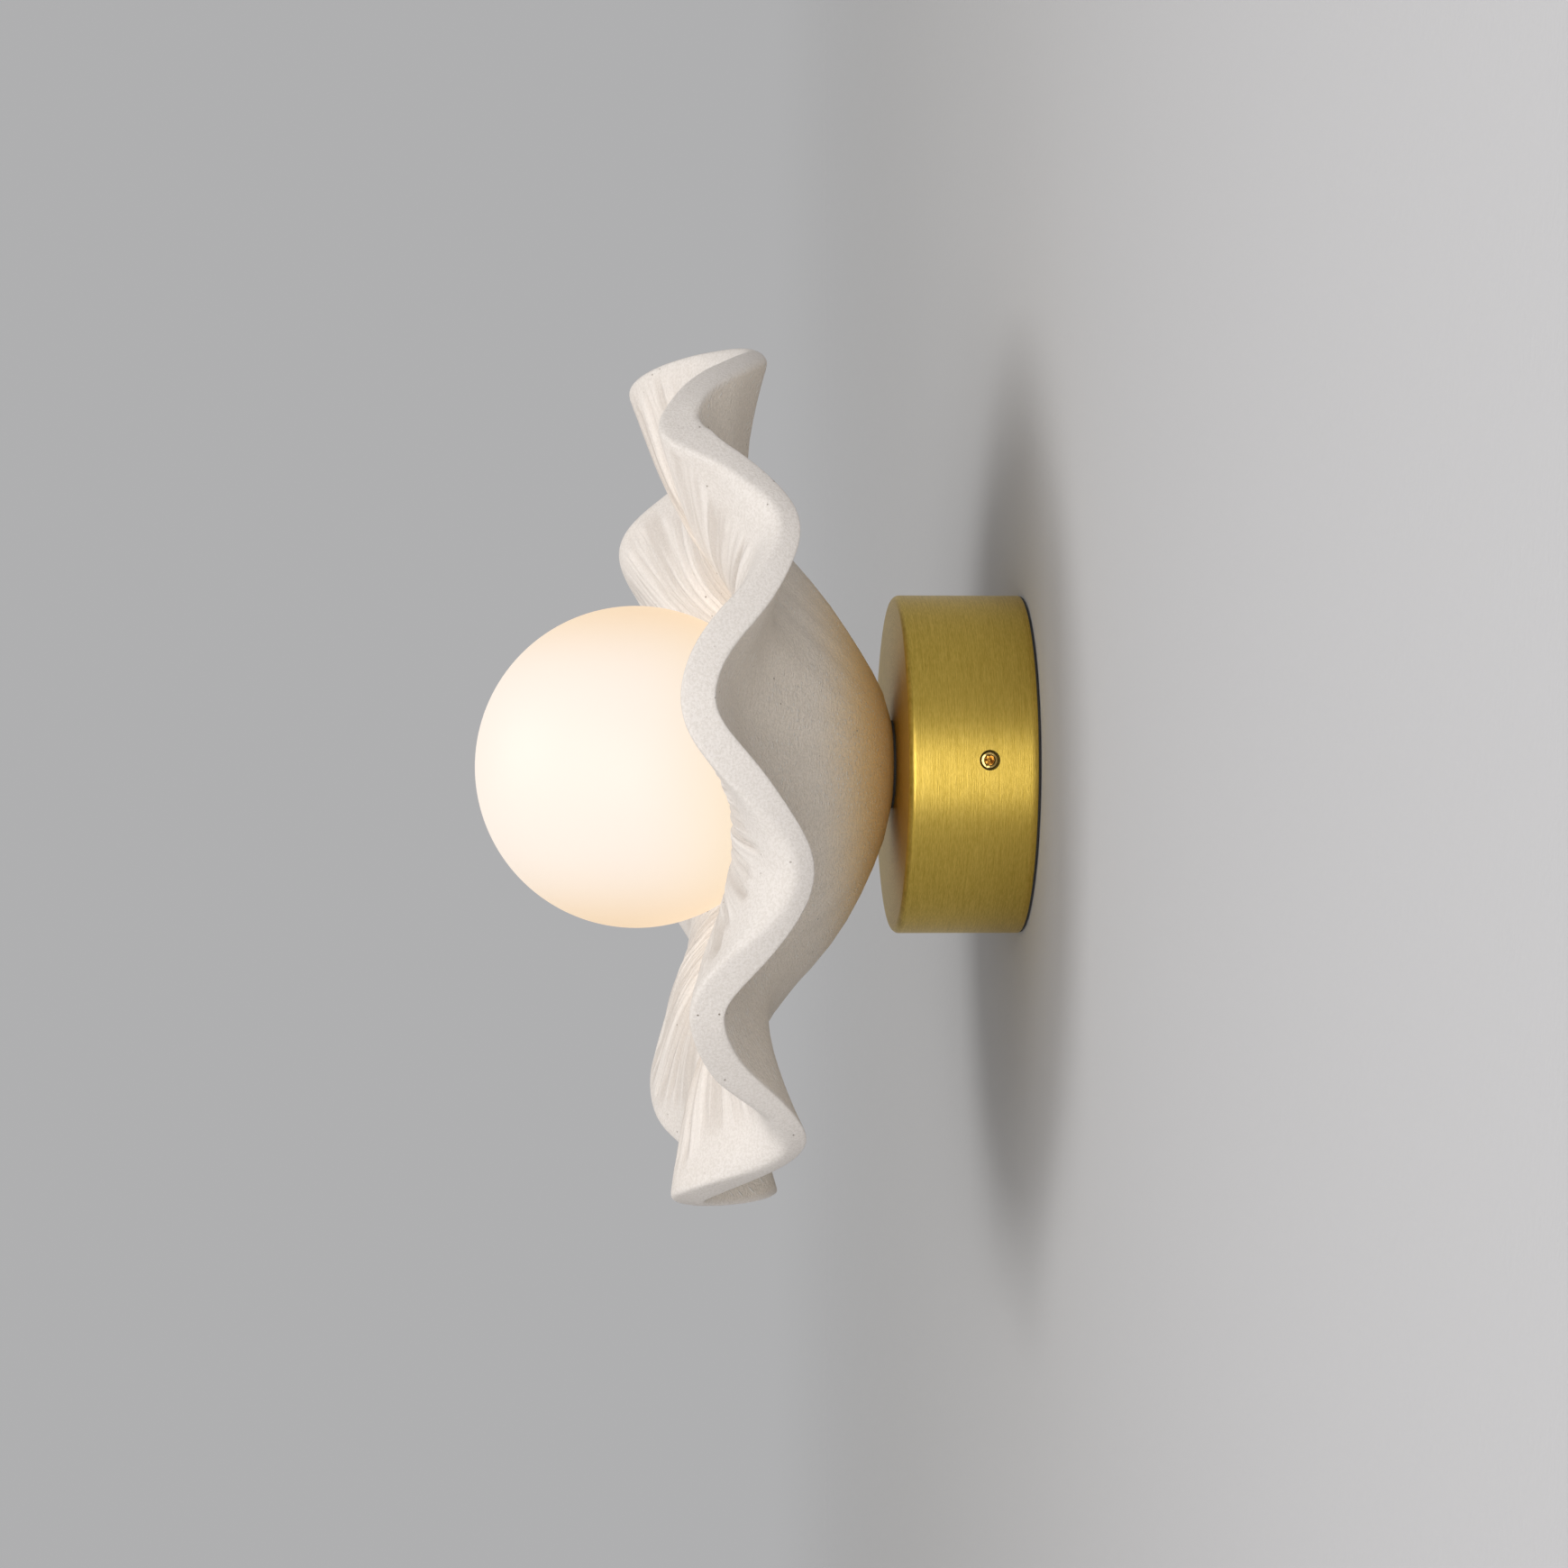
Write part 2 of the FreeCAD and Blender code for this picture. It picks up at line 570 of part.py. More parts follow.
def globe_seal():
    return Part.makeTorus(SEAL_RING_RADIUS, SEAL_RADIUS, at(0, SEAL_DEPTH, -GLOBE_DROP), INTO_ROOM)


def lampholder_cap():
    """The lampholder's metal foot, screwed on the tube's end."""
    outline = [(TUBE_RADIUS, CAP_BACK), (CAP_RADIUS, CAP_BACK), (CAP_RADIUS, BODY_BACK),
               (CAP_RADIUS - CAP_WALL, BODY_BACK), (CAP_RADIUS - CAP_WALL, CAP_FLOOR),
               (TUBE_RADIUS, CAP_FLOOR)]
    return lathe(outline)


def pocket(side):
    """The pocket of one lamp pin in the lampholder."""
    x = side * PIN_SPACING / 2
    half = POCKET_WIDTH / 2
    return block(x - half, x + half, BODY_FRONT - POCKET_DEPTH, BODY_FRONT + CUT_PAST,
                 -POCKET_BREADTH / 2, POCKET_BREADTH / 2)


def lampholder_body():
    spigot = CAP_RADIUS - CAP_WALL
    outline = [(0, BODY_BACK - BODY_SPIGOT), (spigot, BODY_BACK - BODY_SPIGOT), (spigot, BODY_BACK),
               (BODY_RADIUS, BODY_BACK), (BODY_RADIUS, BODY_FRONT), (0, BODY_FRONT)]
    body = lathe(outline)
    body = rounded(body, BODY_EDGE, lambda edge: is_circle_at(edge, BODY_RADIUS, BODY_FRONT))
    cuts = []
    for side in (-1, 1):
        cuts.append(pocket(side))
        cuts.append(disc(LEAD_RADIUS + LOOSE_PLAY, BODY_BACK - BODY_SPIGOT - CUT_PAST,
                         BODY_FRONT - POCKET_DEPTH, side * PIN_SPACING / 2))
    return body.cut(cuts)


def lampholder_contacts():
    """Folded spring strips that grip the lamp's pins."""
    inner = PIN_THICK / 2 + RUNNING_PLAY
    outer = inner + CONTACT_THICK
    floor = BODY_FRONT - POCKET_DEPTH
    strips = []
    for side in (-1, 1):
        x = side * PIN_SPACING / 2
        half = CONTACT_BREADTH / 2
        strip = block(x - outer, x + outer, floor, floor + CONTACT_HEIGHT, -half, half)
        gap = block(x - inner, x + inner, floor + CONTACT_THICK, floor + CONTACT_HEIGHT, -half, half)
        strips.append(strip.cut(gap))
    return Part.makeCompound(strips)


def lamp_pins():
    """Two wire loops that plug into the lampholder."""
    loops = []
    bend = (PIN_LOOP_WIDTH - PIN_THICK) / 2
    for side in (-1, 1):
        x = side * PIN_SPACING / 2
        straight = BODY_FRONT - PIN_LENGTH + bend + PIN_THICK / 2
        start = at(x, BODY_FRONT, -bend)
        end = at(x, BODY_FRONT, bend)
        low = [at(x, straight, -bend), at(x, straight - bend, 0), at(x, straight, bend)]
        path = Part.Wire([Part.LineSegment(start, low[0]).toShape(), Part.Arc(*low).toShape(),
                          Part.LineSegment(low[2], end).toShape()])
        section = Part.Wire(Part.makeCircle(PIN_THICK / 2, start, Vector(0, 1, 0)))
        loops.append(path.makePipeShell([section], True, False))
    return Part.makeCompound(loops)


def lamp_base():
    base = disc(LAMP_BASE_RADIUS, BODY_FRONT, COVER_BACK)
    return rounded(base, LAMP_BASE_EDGE, lambda edge: is_circle_at(edge, LAMP_BASE_RADIUS, BODY_FRONT))


def domed_bar(radius, back, front):
    """A round bar whose front end is a dome."""
    bar = disc(radius, back, front)
    return rounded(bar, radius - LAMP_COVER_FLAT, lambda edge: is_circle_at(edge, radius, front))


def lamp_cover():
    """The lamp's clear cover, a thin domed tube."""
    front = COVER_BACK + LAMP_COVER_LENGTH
    cover = domed_bar(LAMP_COVER_RADIUS, COVER_BACK, front)
    return cover.cut(domed_bar(LAMP_COVER_RADIUS - LAMP_COVER_WALL, COVER_BACK, front - LAMP_COVER_WALL))


def led_board():
    """A small board with rows of light-emitting chips on both faces."""
    half = LED_BOARD_THICK / 2
    side = LED_BOARD_WIDTH / 2
    chip = LED_CHIP / 2
    board = block(-side, side, COVER_BACK, COVER_BACK + LED_BOARD_LENGTH, -half, half)
    chips = []
    pitch = LED_BOARD_LENGTH / LED_CHIP_ROWS
    for row in range(LED_CHIP_ROWS):
        middle = COVER_BACK + pitch * (row + 0.5)
        for x in (-side / 2, side / 2):
            chips.append(block(x - chip, x + chip, middle - chip, middle + chip,
                               -half - LED_CHIP_THICK, half + LED_CHIP_THICK))
    return board.fuse(chips)


def along_z(radius, x, depth, z0, z1):
    return Part.makeCylinder(radius, z1 - z0, at(x, depth, z0), Vector(0, 0, 1))


def pole_places():
    return [-BLOCK_PITCH, 0.0, BLOCK_PITCH]


def clamp_screw_places():
    """(x, z) of the six small screws that clamp the wires."""
    places = []
    for x in pole_places():
        for side in (-1, 1):
            places.append((x, BLOCK_CENTRE_Z + side * CLAMP_SCREW_SPACING / 2))
    return places


def terminal_block():
    body = block(-BLOCK_WIDTH / 2, BLOCK_WIDTH / 2, BLOCK_BACK, SHELF_BACK,
                 BLOCK_CENTRE_Z - BLOCK_LENGTH / 2, BLOCK_CENTRE_Z + BLOCK_LENGTH / 2)
    low = BLOCK_CENTRE_Z - BLOCK_LENGTH / 2 - CUT_PAST
    high = BLOCK_CENTRE_Z + BLOCK_LENGTH / 2 + CUT_PAST
    cuts = []
    for x in pole_places():
        cuts.append(along_z(INSERT_RADIUS, x, WIRE_DEPTH, low, high))
    for x, z in clamp_screw_places():
        cuts.append(disc(CLAMP_SCREW_RADIUS + LOOSE_PLAY, BLOCK_BACK - CUT_PAST, WIRE_DEPTH, x, z))
    cuts.append(disc(FIXING_SCREW_RADIUS + LOOSE_PLAY, BLOCK_BACK - CUT_PAST, SHELF_BACK + CUT_PAST,
                     BLOCK_PITCH / 2, BLOCK_CENTRE_Z))
    return body.cut(cuts)


def terminal_inserts():
    half = INSERT_LENGTH / 2
    tubes = []
    for x in pole_places():
        tube = along_z(INSERT_RADIUS, x, WIRE_DEPTH, BLOCK_CENTRE_Z - half, BLOCK_CENTRE_Z + half)
        bore = along_z(INSERT_BORE_RADIUS, x, WIRE_DEPTH, BLOCK_CENTRE_Z - half, BLOCK_CENTRE_Z + half)
        holes = [disc(CLAMP_SCREW_RADIUS, BLOCK_BACK, WIRE_DEPTH, x, z)
                 for place, z in clamp_screw_places() if place == x]
        tubes.append(tube.cut([bore] + holes))
    return Part.makeCompound(tubes)


def slotted_screw(radius, head_radius, back, head_front, front, x, z):
    """A screw along the depth: its head, its shank and a screwdriver slot."""
    screw = disc(head_radius, back, head_front, x, z).fuse(disc(radius, back, front, x, z)).removeSplitter()
    half = SCREW_SLOT_WIDTH / 2
    cut = block(x - head_radius, x + head_radius, back, back + SCREW_SLOT_DEPTH, z - half, z + half)
    return screw.cut(cut)


def terminal_screws():
    tip = WIRE_DEPTH - LEAD_CORE_RADIUS
    top = BLOCK_BACK + CLAMP_SCREW_SUNK
    screws = []
    for x, z in clamp_screw_places():
        screws.append(slotted_screw(CLAMP_SCREW_RADIUS, CLAMP_SCREW_RADIUS, top, tip, tip, x, z))
    return Part.makeCompound(screws)


def terminal_fixing_screw():
    top = BLOCK_BACK - FIXING_HEAD_THICK
    end = SHELF_BACK + STRAP_THICK
    return slotted_screw(FIXING_SCREW_RADIUS, FIXING_HEAD_RADIUS, top, BLOCK_BACK, end,
                         BLOCK_PITCH / 2, BLOCK_CENTRE_Z)


def tag_back():
    return SHELF_BACK - TAG_THICK


def earth_tag():
    """A ring terminal: an eye under the screw and a crimped barrel above it."""
    back = tag_back()
    eye = disc(TAG_RADIUS, back, SHELF_BACK, 0, EARTH_Z)
    barrel_start = EARTH_Z + TAG_RADIUS - TAG_BARREL_LAP
    barrel_depth = back + TAG_THICK - TAG_BARREL_RADIUS
    barrel_end = barrel_start + TAG_BARREL_LENGTH
    barrel = along_z(TAG_BARREL_RADIUS, 0, barrel_depth, barrel_start, barrel_end)
    hole = disc(EARTH_SCREW_RADIUS + LOOSE_PLAY, back - CUT_PAST, SHELF_BACK + CUT_PAST, 0, EARTH_Z)
    bore = along_z(LEAD_RADIUS, 0, barrel_depth, barrel_start + TAG_BARREL_SHUT, barrel_end)
    return eye.fuse(barrel).cut([hole, bore])


def earth_screw():
    head_front = tag_back()
    end = SHELF_BACK + STRAP_THICK + EARTH_SCREW_PAST
    head_back = head_front - EARTH_HEAD_THICK
    return slotted_screw(EARTH_SCREW_RADIUS, EARTH_HEAD_RADIUS, head_back, head_front, end, 0, EARTH_Z)


def lamp_lead(side):
    """A lead from a lampholder contact, down the tube and up into the terminal block."""
    pin_x = side * PIN_SPACING / 2
    tube_x = side * LEAD_SPREAD
    pole_x = side * BLOCK_PITCH
    block_foot = BLOCK_CENTRE_Z - BLOCK_LENGTH / 2
    contact_foot = BODY_FRONT - POCKET_DEPTH
    cavity_top = BODY_BACK - BODY_SPIGOT
    route = [at(pin_x, contact_foot), at(pin_x, cavity_top - LEAD_BEND_ROOM),
             at(tube_x, CAP_FLOOR - LEAD_BEND_ROOM), at(tube_x, WIRE_DEPTH),
             at(pole_x, WIRE_DEPTH, block_foot - LEAD_FOOT), at(pole_x, WIRE_DEPTH, block_foot)]
    lead = wire_along(route, LEAD_RADIUS)
    core = along_z(LEAD_CORE_RADIUS, pole_x, WIRE_DEPTH, block_foot, BLOCK_CENTRE_Z)
    return lead.fuse(core)


def earth_lead():
    """A lead from the block's middle pole, past the tube's end, to the earth tag."""
    block_foot = BLOCK_CENTRE_Z - BLOCK_LENGTH / 2
    barrel_top = EARTH_Z + TAG_RADIUS - TAG_BARREL_LAP + TAG_BARREL_LENGTH
    barrel_depth = tag_back() + TAG_THICK - TAG_BARREL_RADIUS
    bow = WIRE_DEPTH - EARTH_LEAD_BOW
    route = [at(0, WIRE_DEPTH, block_foot), at(0, WIRE_DEPTH, block_foot - LEAD_FOOT),
             at(0, bow, EARTH_LEAD_HIGH), at(0, bow, -EARTH_LEAD_LOW),
             at(0, barrel_depth, barrel_top + EARTH_LEAD_RUN),
             at(0, barrel_depth, barrel_top - LEAD_BEND_ROOM)]
    lead = wire_along(route, LEAD_RADIUS)
    core = along_z(LEAD_CORE_RADIUS, 0, WIRE_DEPTH, block_foot, BLOCK_CENTRE_Z)
    return lead.fuse(core)


def build():
    """Every sub-part by its name."""
    return {
        "wall_gasket": wall_gasket(),
        "wall_bracket": wall_bracket(),
        "wall_cup": wall_cup(),
        "set_screw_bosses": set_screw_bosses(),
        "set_screw_right": set_screw(1),
        "set_screw_left": set_screw(-1),
        "strap": strap(),
        "lock_washer": tube_washer(NUT_WASHER_RADIUS, NUT_WASHER_BACK, NUT_WASHER_THICK),
        "lock_nut": tube_nut(LOCK_NUT_BACK, LOCK_NUT_THICK),
        "threaded_tube": threaded_tube(),
        "cup_washer": tube_washer(SOFT_WASHER_RADIUS, CUP_FRONT, CUP_WASHER_THICK),
        "ceramic_shade": ceramic_shade(),
        "shade_washer": tube_washer(SOFT_WASHER_RADIUS, SHADE_FLOOR, SHADE_WASHER_THICK),
        "globe_holder": globe_holder(),
        "holder_nut": tube_nut(HOLDER_FLOOR, HOLDER_NUT_THICK),
        "lampholder_cap": lampholder_cap(),
        "lampholder_body": lampholder_body(),
        "lampholder_contacts": lampholder_contacts(),
        "lamp_base": lamp_base(),
        "lamp_pins": lamp_pins(),
        "lamp_cover": lamp_cover(),
        "led_board": led_board(),
        "glass_globe": glass_globe(),
        "globe_seal": globe_seal(),
        "terminal_block": terminal_block(),
        "terminal_inserts": terminal_inserts(),
        "terminal_screws": terminal_screws(),
        "terminal_fixing_screw": terminal_fixing_screw(),
        "earth_tag": earth_tag(),
        "earth_screw": earth_screw(),
        "live_lead": lamp_lead(-1),
        "neutral_lead": lamp_lead(1),
        "earth_lead": earth_lead(),
    }


def main():
    os.makedirs("parts", exist_ok=True)
    for name, shape in build().items():
        solids = len(shape.Solids)
        print(f"{name:24s} solids {solids:2d} valid {shape.isValid()} volume {shape.Volume:12.2f}")
        shape.exportStep(f"parts/{name}.step")


main()
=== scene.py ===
# %% [markdown]
# # A wall light with a ruffled clay shade
# A round brass cup hides the bracket on the wall. A threaded tube carries a hand-pressed clay shade
# and, in front of it, a lampholder and an opal glass globe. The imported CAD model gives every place,
# so this file only adds the shapes and finishes that a CAD solid lacks.

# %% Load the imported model
import json
import math
import bmesh
import bpy
import numpy as np
from mathutils import Matrix, Vector


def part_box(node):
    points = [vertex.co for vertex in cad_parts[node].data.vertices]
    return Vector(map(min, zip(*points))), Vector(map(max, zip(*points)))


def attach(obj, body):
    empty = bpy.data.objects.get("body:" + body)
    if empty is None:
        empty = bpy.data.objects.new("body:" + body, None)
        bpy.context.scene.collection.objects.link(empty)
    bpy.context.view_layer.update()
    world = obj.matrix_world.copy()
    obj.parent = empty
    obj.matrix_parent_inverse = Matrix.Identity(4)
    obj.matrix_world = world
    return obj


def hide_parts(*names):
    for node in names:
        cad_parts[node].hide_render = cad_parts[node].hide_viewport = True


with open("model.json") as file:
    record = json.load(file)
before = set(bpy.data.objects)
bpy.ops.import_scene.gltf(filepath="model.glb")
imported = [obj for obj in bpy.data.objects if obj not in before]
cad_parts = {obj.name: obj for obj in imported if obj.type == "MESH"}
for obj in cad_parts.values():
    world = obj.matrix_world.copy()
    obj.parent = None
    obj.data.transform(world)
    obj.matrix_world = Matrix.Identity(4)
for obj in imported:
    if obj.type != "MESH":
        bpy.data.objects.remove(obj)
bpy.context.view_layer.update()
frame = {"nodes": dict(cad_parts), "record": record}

MM = 0.001

# %% [markdown]
# ## The camera
# The photograph looks along the wall, nearly side-on: 85 degrees round from the front, level, from
# about 1.6 m. A long lens keeps the cup's ends almost parallel. The position could be found by eye,
# but the cup and the globe are plain round forms, so their outlines give it directly.

# %% Place the camera
CAMERA_AZIMUTH = math.radians(85.3)
CAMERA_DISTANCE = 1.6
CAMERA_AIM = Vector((0, -70.0, -5.84)) * MM
CAMERA_LENS_MM = 124.2

back = Vector((math.sin(CAMERA_AZIMUTH), -math.cos(CAMERA_AZIMUTH), 0))
camera = bpy.data.objects.new("camera", bpy.data.cameras.new("camera"))
bpy.context.scene.collection.objects.link(camera)
camera.data.lens = CAMERA_LENS_MM
camera.location = CAMERA_AIM + back * CAMERA_DISTANCE
camera.rotation_euler = (math.pi / 2, 0, CAMERA_AZIMUTH)
bpy.context.scene.camera = camera
print("camera at", [round(v, 3) for v in camera.location])

# %% [markdown]
# ## Shader maths
# A material's pattern is a sum on numbers that change over the surface. Wiring Math nodes by hand
# hides the sum, so a small class wraps a node's output and lets plain Python operators add the
# nodes. `1 - mask` needs the reflected forms as well.

# %% A number that varies over a surface
class Varying:
    def __init__(self, finish, socket):
        self.finish = finish
        self.socket = socket

    def maths(self, operation, *values):
        return self.finish.node("ShaderNodeMath", {"operation": operation}, dict(enumerate(values)))

    def __add__(self, other):
        return self.maths("ADD", self, other)

    def __sub__(self, other):
        return self.maths("SUBTRACT", self, other)

    def __rsub__(self, other):
        return self.maths("SUBTRACT", other, self)

    def __mul__(self, other):
        return self.maths("MULTIPLY", self, other)

    def __truediv__(self, other):
        return self.maths("DIVIDE", self, other)

    def __pow__(self, other):
        return self.maths("POWER", self, other)

    __radd__ = __add__
    __rmul__ = __mul__


print("fields take +, -, *, / and **")

# %% A finish, with one method for every other node
class Finish:
    """A material. Its shader's constants are set on the sockets, and fields drive what varies."""

    def __init__(self, name, **constants):
        self.material = bpy.data.materials.new(name)
        self.material.use_nodes = True
        self.tree = self.material.node_tree
        self.shader = self.tree.nodes["Principled BSDF"]
        self.output = self.tree.nodes["Material Output"]
        for socket, value in constants.items():
            self.shader.inputs[socket.replace("_", " ")].default_value = value

    def node(self, kind, settings=None, inputs=None, out=0):
        made = self.tree.nodes.new(kind)
        for key, value in (settings or {}).items():
            if key == "stops":
                self.set_stops(made.color_ramp, value)
            else:
                setattr(made, key, value)
        for key, value in (inputs or {}).items():
            self.feed(made.inputs[key], value)
        return Varying(self, made.outputs[out])

    def set_stops(self, ramp, stops):
        while len(ramp.elements) < len(stops):
            ramp.elements.new(0.5)
        for element, (place, colour) in zip(ramp.elements, stops):
            element.position = place
            element.color = (*colour, 1.0)

    def feed(self, socket, value):
        if isinstance(value, Varying):
            self.tree.links.new(value.socket, socket)
        else:
            socket.default_value = value

    def drive(self, **fields):
        for socket, value in fields.items():
            self.feed(self.shader.inputs[socket.replace("_", " ")], value)

    def place(self):
        """The point on the piece, in metres."""
        return self.node("ShaderNodeTexCoord", out="Object")

    def part_of(self, vector):
        """The three numbers of a vector."""
        made = self.node("ShaderNodeSeparateXYZ", None, {0: vector})
        outputs = made.socket.node.outputs
        return [Varying(self, outputs[i]) for i in range(3)]

    def vector(self, x, y, z):
        return self.node("ShaderNodeCombineXYZ", None, {0: x, 1: y, 2: z})

    def noise(self, where, scale, detail=3.0, rough=0.5):
        """Cloudy noise from 0 to 1, about 1 / scale metres across."""
        return self.node("ShaderNodeTexNoise", None,
                         {"Vector": where, "Scale": scale, "Detail": detail, "Roughness": rough})

    def pits(self, where, scale):
        """Distance to the nearest of many scattered points."""
        return self.node("ShaderNodeTexVoronoi", None, {"Vector": where, "Scale": scale}, "Distance")

    def between(self, value, low, high, to_low=0.0, to_high=1.0):
        """Maps low..high on to to_low..to_high, smoothly and held at the ends."""
        return self.node("ShaderNodeMapRange", {"interpolation_type": "SMOOTHSTEP"},
                         {0: value, 1: low, 2: high, 3: to_low, 4: to_high})

    def blend(self, amount, first, second):
        """Mixes two colours, each given as a triple or as a field."""
        below, above = [c if isinstance(c, Varying) else (*c, 1.0) for c in (first, second)]
        return self.node("ShaderNodeMix", {"data_type": "RGBA"}, {0: amount, 6: below, 7: above}, 2)

    def relief(self, height, depth):
        """Turns a height from 0 to 1 into a bump of that many metres."""
        return self.node("ShaderNodeBump", None, {"Height": height, "Strength": 1.0, "Distance": depth})

    def round_axis(self, turns, along):
        """Where the point is round the light's axis and along its outline, stretched as the finish
        needs. A unit circle stands for the angle, so the pattern has no seam."""
        x, y, z = self.part_of(self.place())
        radius = (x * x + z * z + 1e-9) ** 0.5
        return self.vector(x / radius * turns, (radius - y) * along, z / radius * turns)


print("shader helpers ready")

# %% [markdown]
# ## Turned shapes
# Nearly everything here is round: turned, spun or blown. The real maker cuts an outline against a
# turning blank, and Spin does the same to a wire of a few points. Corners are left sharp in the
# outline and rounded afterwards by Bevel, as a file would break them.

# %% Spin an outline round the light's axis
def spun(outline, steps, closed=True, sectors=1):
    """A bmesh turned from (radius, depth) points in mm; depth is measured from the wall.
    A very fine turning is quicker as one sector that is copied round."""
    turned = bmesh.new()
    points = [turned.verts.new(Vector((radius, -depth, 0)) * MM) for radius, depth in outline]
    pairs = list(zip(points, points[1:]))
    if closed:
        pairs.append((points[-1], points[0]))
    edges = [turned.edges.new(pair) for pair in pairs]
    bmesh.ops.spin(turned, geom=points + edges, cent=(0, 0, 0), axis=(0, 1, 0), angle=2 * math.pi / sectors,
                   steps=steps // sectors, use_merge=sectors == 1, use_duplicate=False)
    first = turned.verts[:] + turned.edges[:] + turned.faces[:]
    for i in range(1, sectors):
        copied = bmesh.ops.duplicate(turned, geom=first)["geom"]
        verts = [item for item in copied if isinstance(item, bmesh.types.BMVert)]
        bmesh.ops.rotate(turned, verts=verts, cent=(0, 0, 0),
                         matrix=Matrix.Rotation(2 * math.pi * i / sectors, 3, "Y"))
    bmesh.ops.remove_doubles(turned, verts=turned.verts, dist=1e-6)
    bmesh.ops.recalc_face_normals(turned, faces=turned.faces)
    return turned


def round_rim(turned, radius, depth, size, segments=4):
    """Bevels the ring of edges at a radius and depth, all in mm."""
    ring = []
    for edge in turned.edges:
        at_ring = [abs(math.hypot(v.co.x, v.co.z) / MM - radius) < 0.02 and abs(v.co.y / MM + depth) < 0.02
                   for v in edge.verts]
        if all(at_ring):
            ring.append(edge)
    bmesh.ops.bevel(turned, geom=ring, offset=size * MM, offset_type="OFFSET", affect="EDGES",
                    segments=segments, profile=0.5, material=-1, clamp_overlap=True)
    return len(ring)


def arc(centre_depth, radius, start, end, steps):
    """Points on a circle that is centred on the axis; angles in degrees from the front pole."""
    angles = [math.radians(start + (end - start) * i / steps) for i in range(steps + 1)]
    return [(radius * math.sin(a), centre_depth + radius * math.cos(a)) for a in angles]


print("turning helpers ready")

# %% Make a piece of a bmesh
def piece(name, shape, finish, slot, body, *nodes, sharp=40.0):
    """A finished piece that rides on a body and stands for its CAD nodes."""
    mesh = bpy.data.meshes.new(name)
    shape.to_mesh(mesh)
    shape.free()
    made = bpy.data.objects.new(name, mesh)
    bpy.context.scene.collection.objects.link(made)
    mesh.shade_smooth()
    mesh.set_sharp_from_angle(angle=math.radians(sharp))
    mesh.materials.append(finish.material)
    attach(made, body)
    if nodes:
        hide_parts(*nodes)
    print(f"{name}: {len(mesh.polygons)} faces")
    return made


def cut_away(made, cutter_shape, sharp=40.0):
    """Subtracts a closed bmesh from a piece for good."""
    mesh = bpy.data.meshes.new("cutter")
    cutter_shape.to_mesh(mesh)
    cutter_shape.free()
    cutter = bpy.data.objects.new("cutter", mesh)
    bpy.context.scene.collection.objects.link(cutter)
    cut = made.modifiers.new("cut", "BOOLEAN")
    cut.operation = "DIFFERENCE"
    cut.solver = "EXACT"
    cut.object = cutter
    graph = bpy.context.evaluated_depsgraph_get()
    result = bpy.data.meshes.new_from_object(made.evaluated_get(graph))
    made.modifiers.remove(cut)
    made.data = result
    result.shade_smooth()
    result.set_sharp_from_angle(angle=math.radians(sharp))
    bpy.data.objects.remove(cutter)


print("piece helpers ready")

# %% [markdown]
# ## The clay
# The shade is bisque: clay fired without a glaze, so it is matte and off-white. Wet fingers and a
# comb left the room side soft, with pinholes and faint streaks. Painted shade darkens the pinholes,
# the comb grooves and the streaks' hollows, and painted highlights lighten the streaks' ridges. The
# wall side is rough and sandy, with small crumbs painted pale as highlights, and with a painted golden
# reflection of the brass cup where it is close to it. One material serves both sides, told apart by
# a number that the mesh carries. Two materials would leave a line along the rim.

# %% Bisque relief
RELIEF_DEPTH = 0.0008
clay = Finish("bisque", Roughness=0.88, IOR=1.45)
where = clay.place()
x, y, z = clay.part_of(where)
room_side = clay.node("ShaderNodeAttribute", {"attribute_name": "room_side"}, None, "Fac")
groove = clay.node("ShaderNodeAttribute", {"attribute_name": "groove"}, None, "Fac")
fluted = clay.node("ShaderNodeAttribute", {"attribute_name": "fluted"}, None, "Fac")
rough_side = 1 - room_side
cloud = clay.noise(where, 22.0, 4.0)
grain = clay.noise(where, 1300.0, 3.0, 0.65)
sand = clay.noise(where, 640.0, 3.0, 0.6)
streak_bump_and_painted_light = clay.between(clay.noise(clay.round_axis(30.0, 9.0), 1.0, 3.0, 0.55), 0.36, 0.64)
patches = clay.between(clay.noise(where, 45.0, 2.0), 0.38, 0.58)
crumb_bump_and_highlight = 1 - clay.between(clay.pits(clay.round_axis(26.0, 760.0), 1.0), 0.10, 0.30)
crumb_bump_and_highlight = crumb_bump_and_highlight * patches * rough_side
pinhole_pits_and_shade = 1 - clay.between(clay.pits(where, 230.0), 0.04, 0.075)
pinhole_pits_and_shade = pinhole_pits_and_shade * clay.between(clay.noise(where, 60.0, 2.0), 0.50, 0.60)
height = grain * (0.26 + rough_side * 0.14) + sand * (0.14 + rough_side * 0.34)
height = height + crumb_bump_and_highlight * 0.30 + streak_bump_and_painted_light * fluted * 0.55 - pinhole_pits_and_shade * 0.4
print("bisque relief, in mm:", RELIEF_DEPTH / MM)

# %% Bisque colours
GOLDEN_RADIUS, PLAIN_RADIUS = 30.0 * MM, 62.0 * MM
pale = clay.blend(cloud, (0.78, 0.73, 0.69), (0.845, 0.80, 0.765))
buff = clay.blend(cloud, (0.80, 0.725, 0.635), (0.88, 0.80, 0.71))
# Painted reflection: a golden glow from the brass cup, painted on the clay close to it.
painted_brass_glow = clay.between(x * x + z * z, GOLDEN_RADIUS ** 2, PLAIN_RADIUS ** 2, 0.9, 0.0)
buff = clay.blend(painted_brass_glow, buff, (0.94, 0.64, 0.26))
colour = clay.blend(room_side, buff, pale)
colour = clay.blend(clay.between(grain, 0.40, 0.62, 0.0, 0.34), colour, (0.58, 0.53, 0.47))
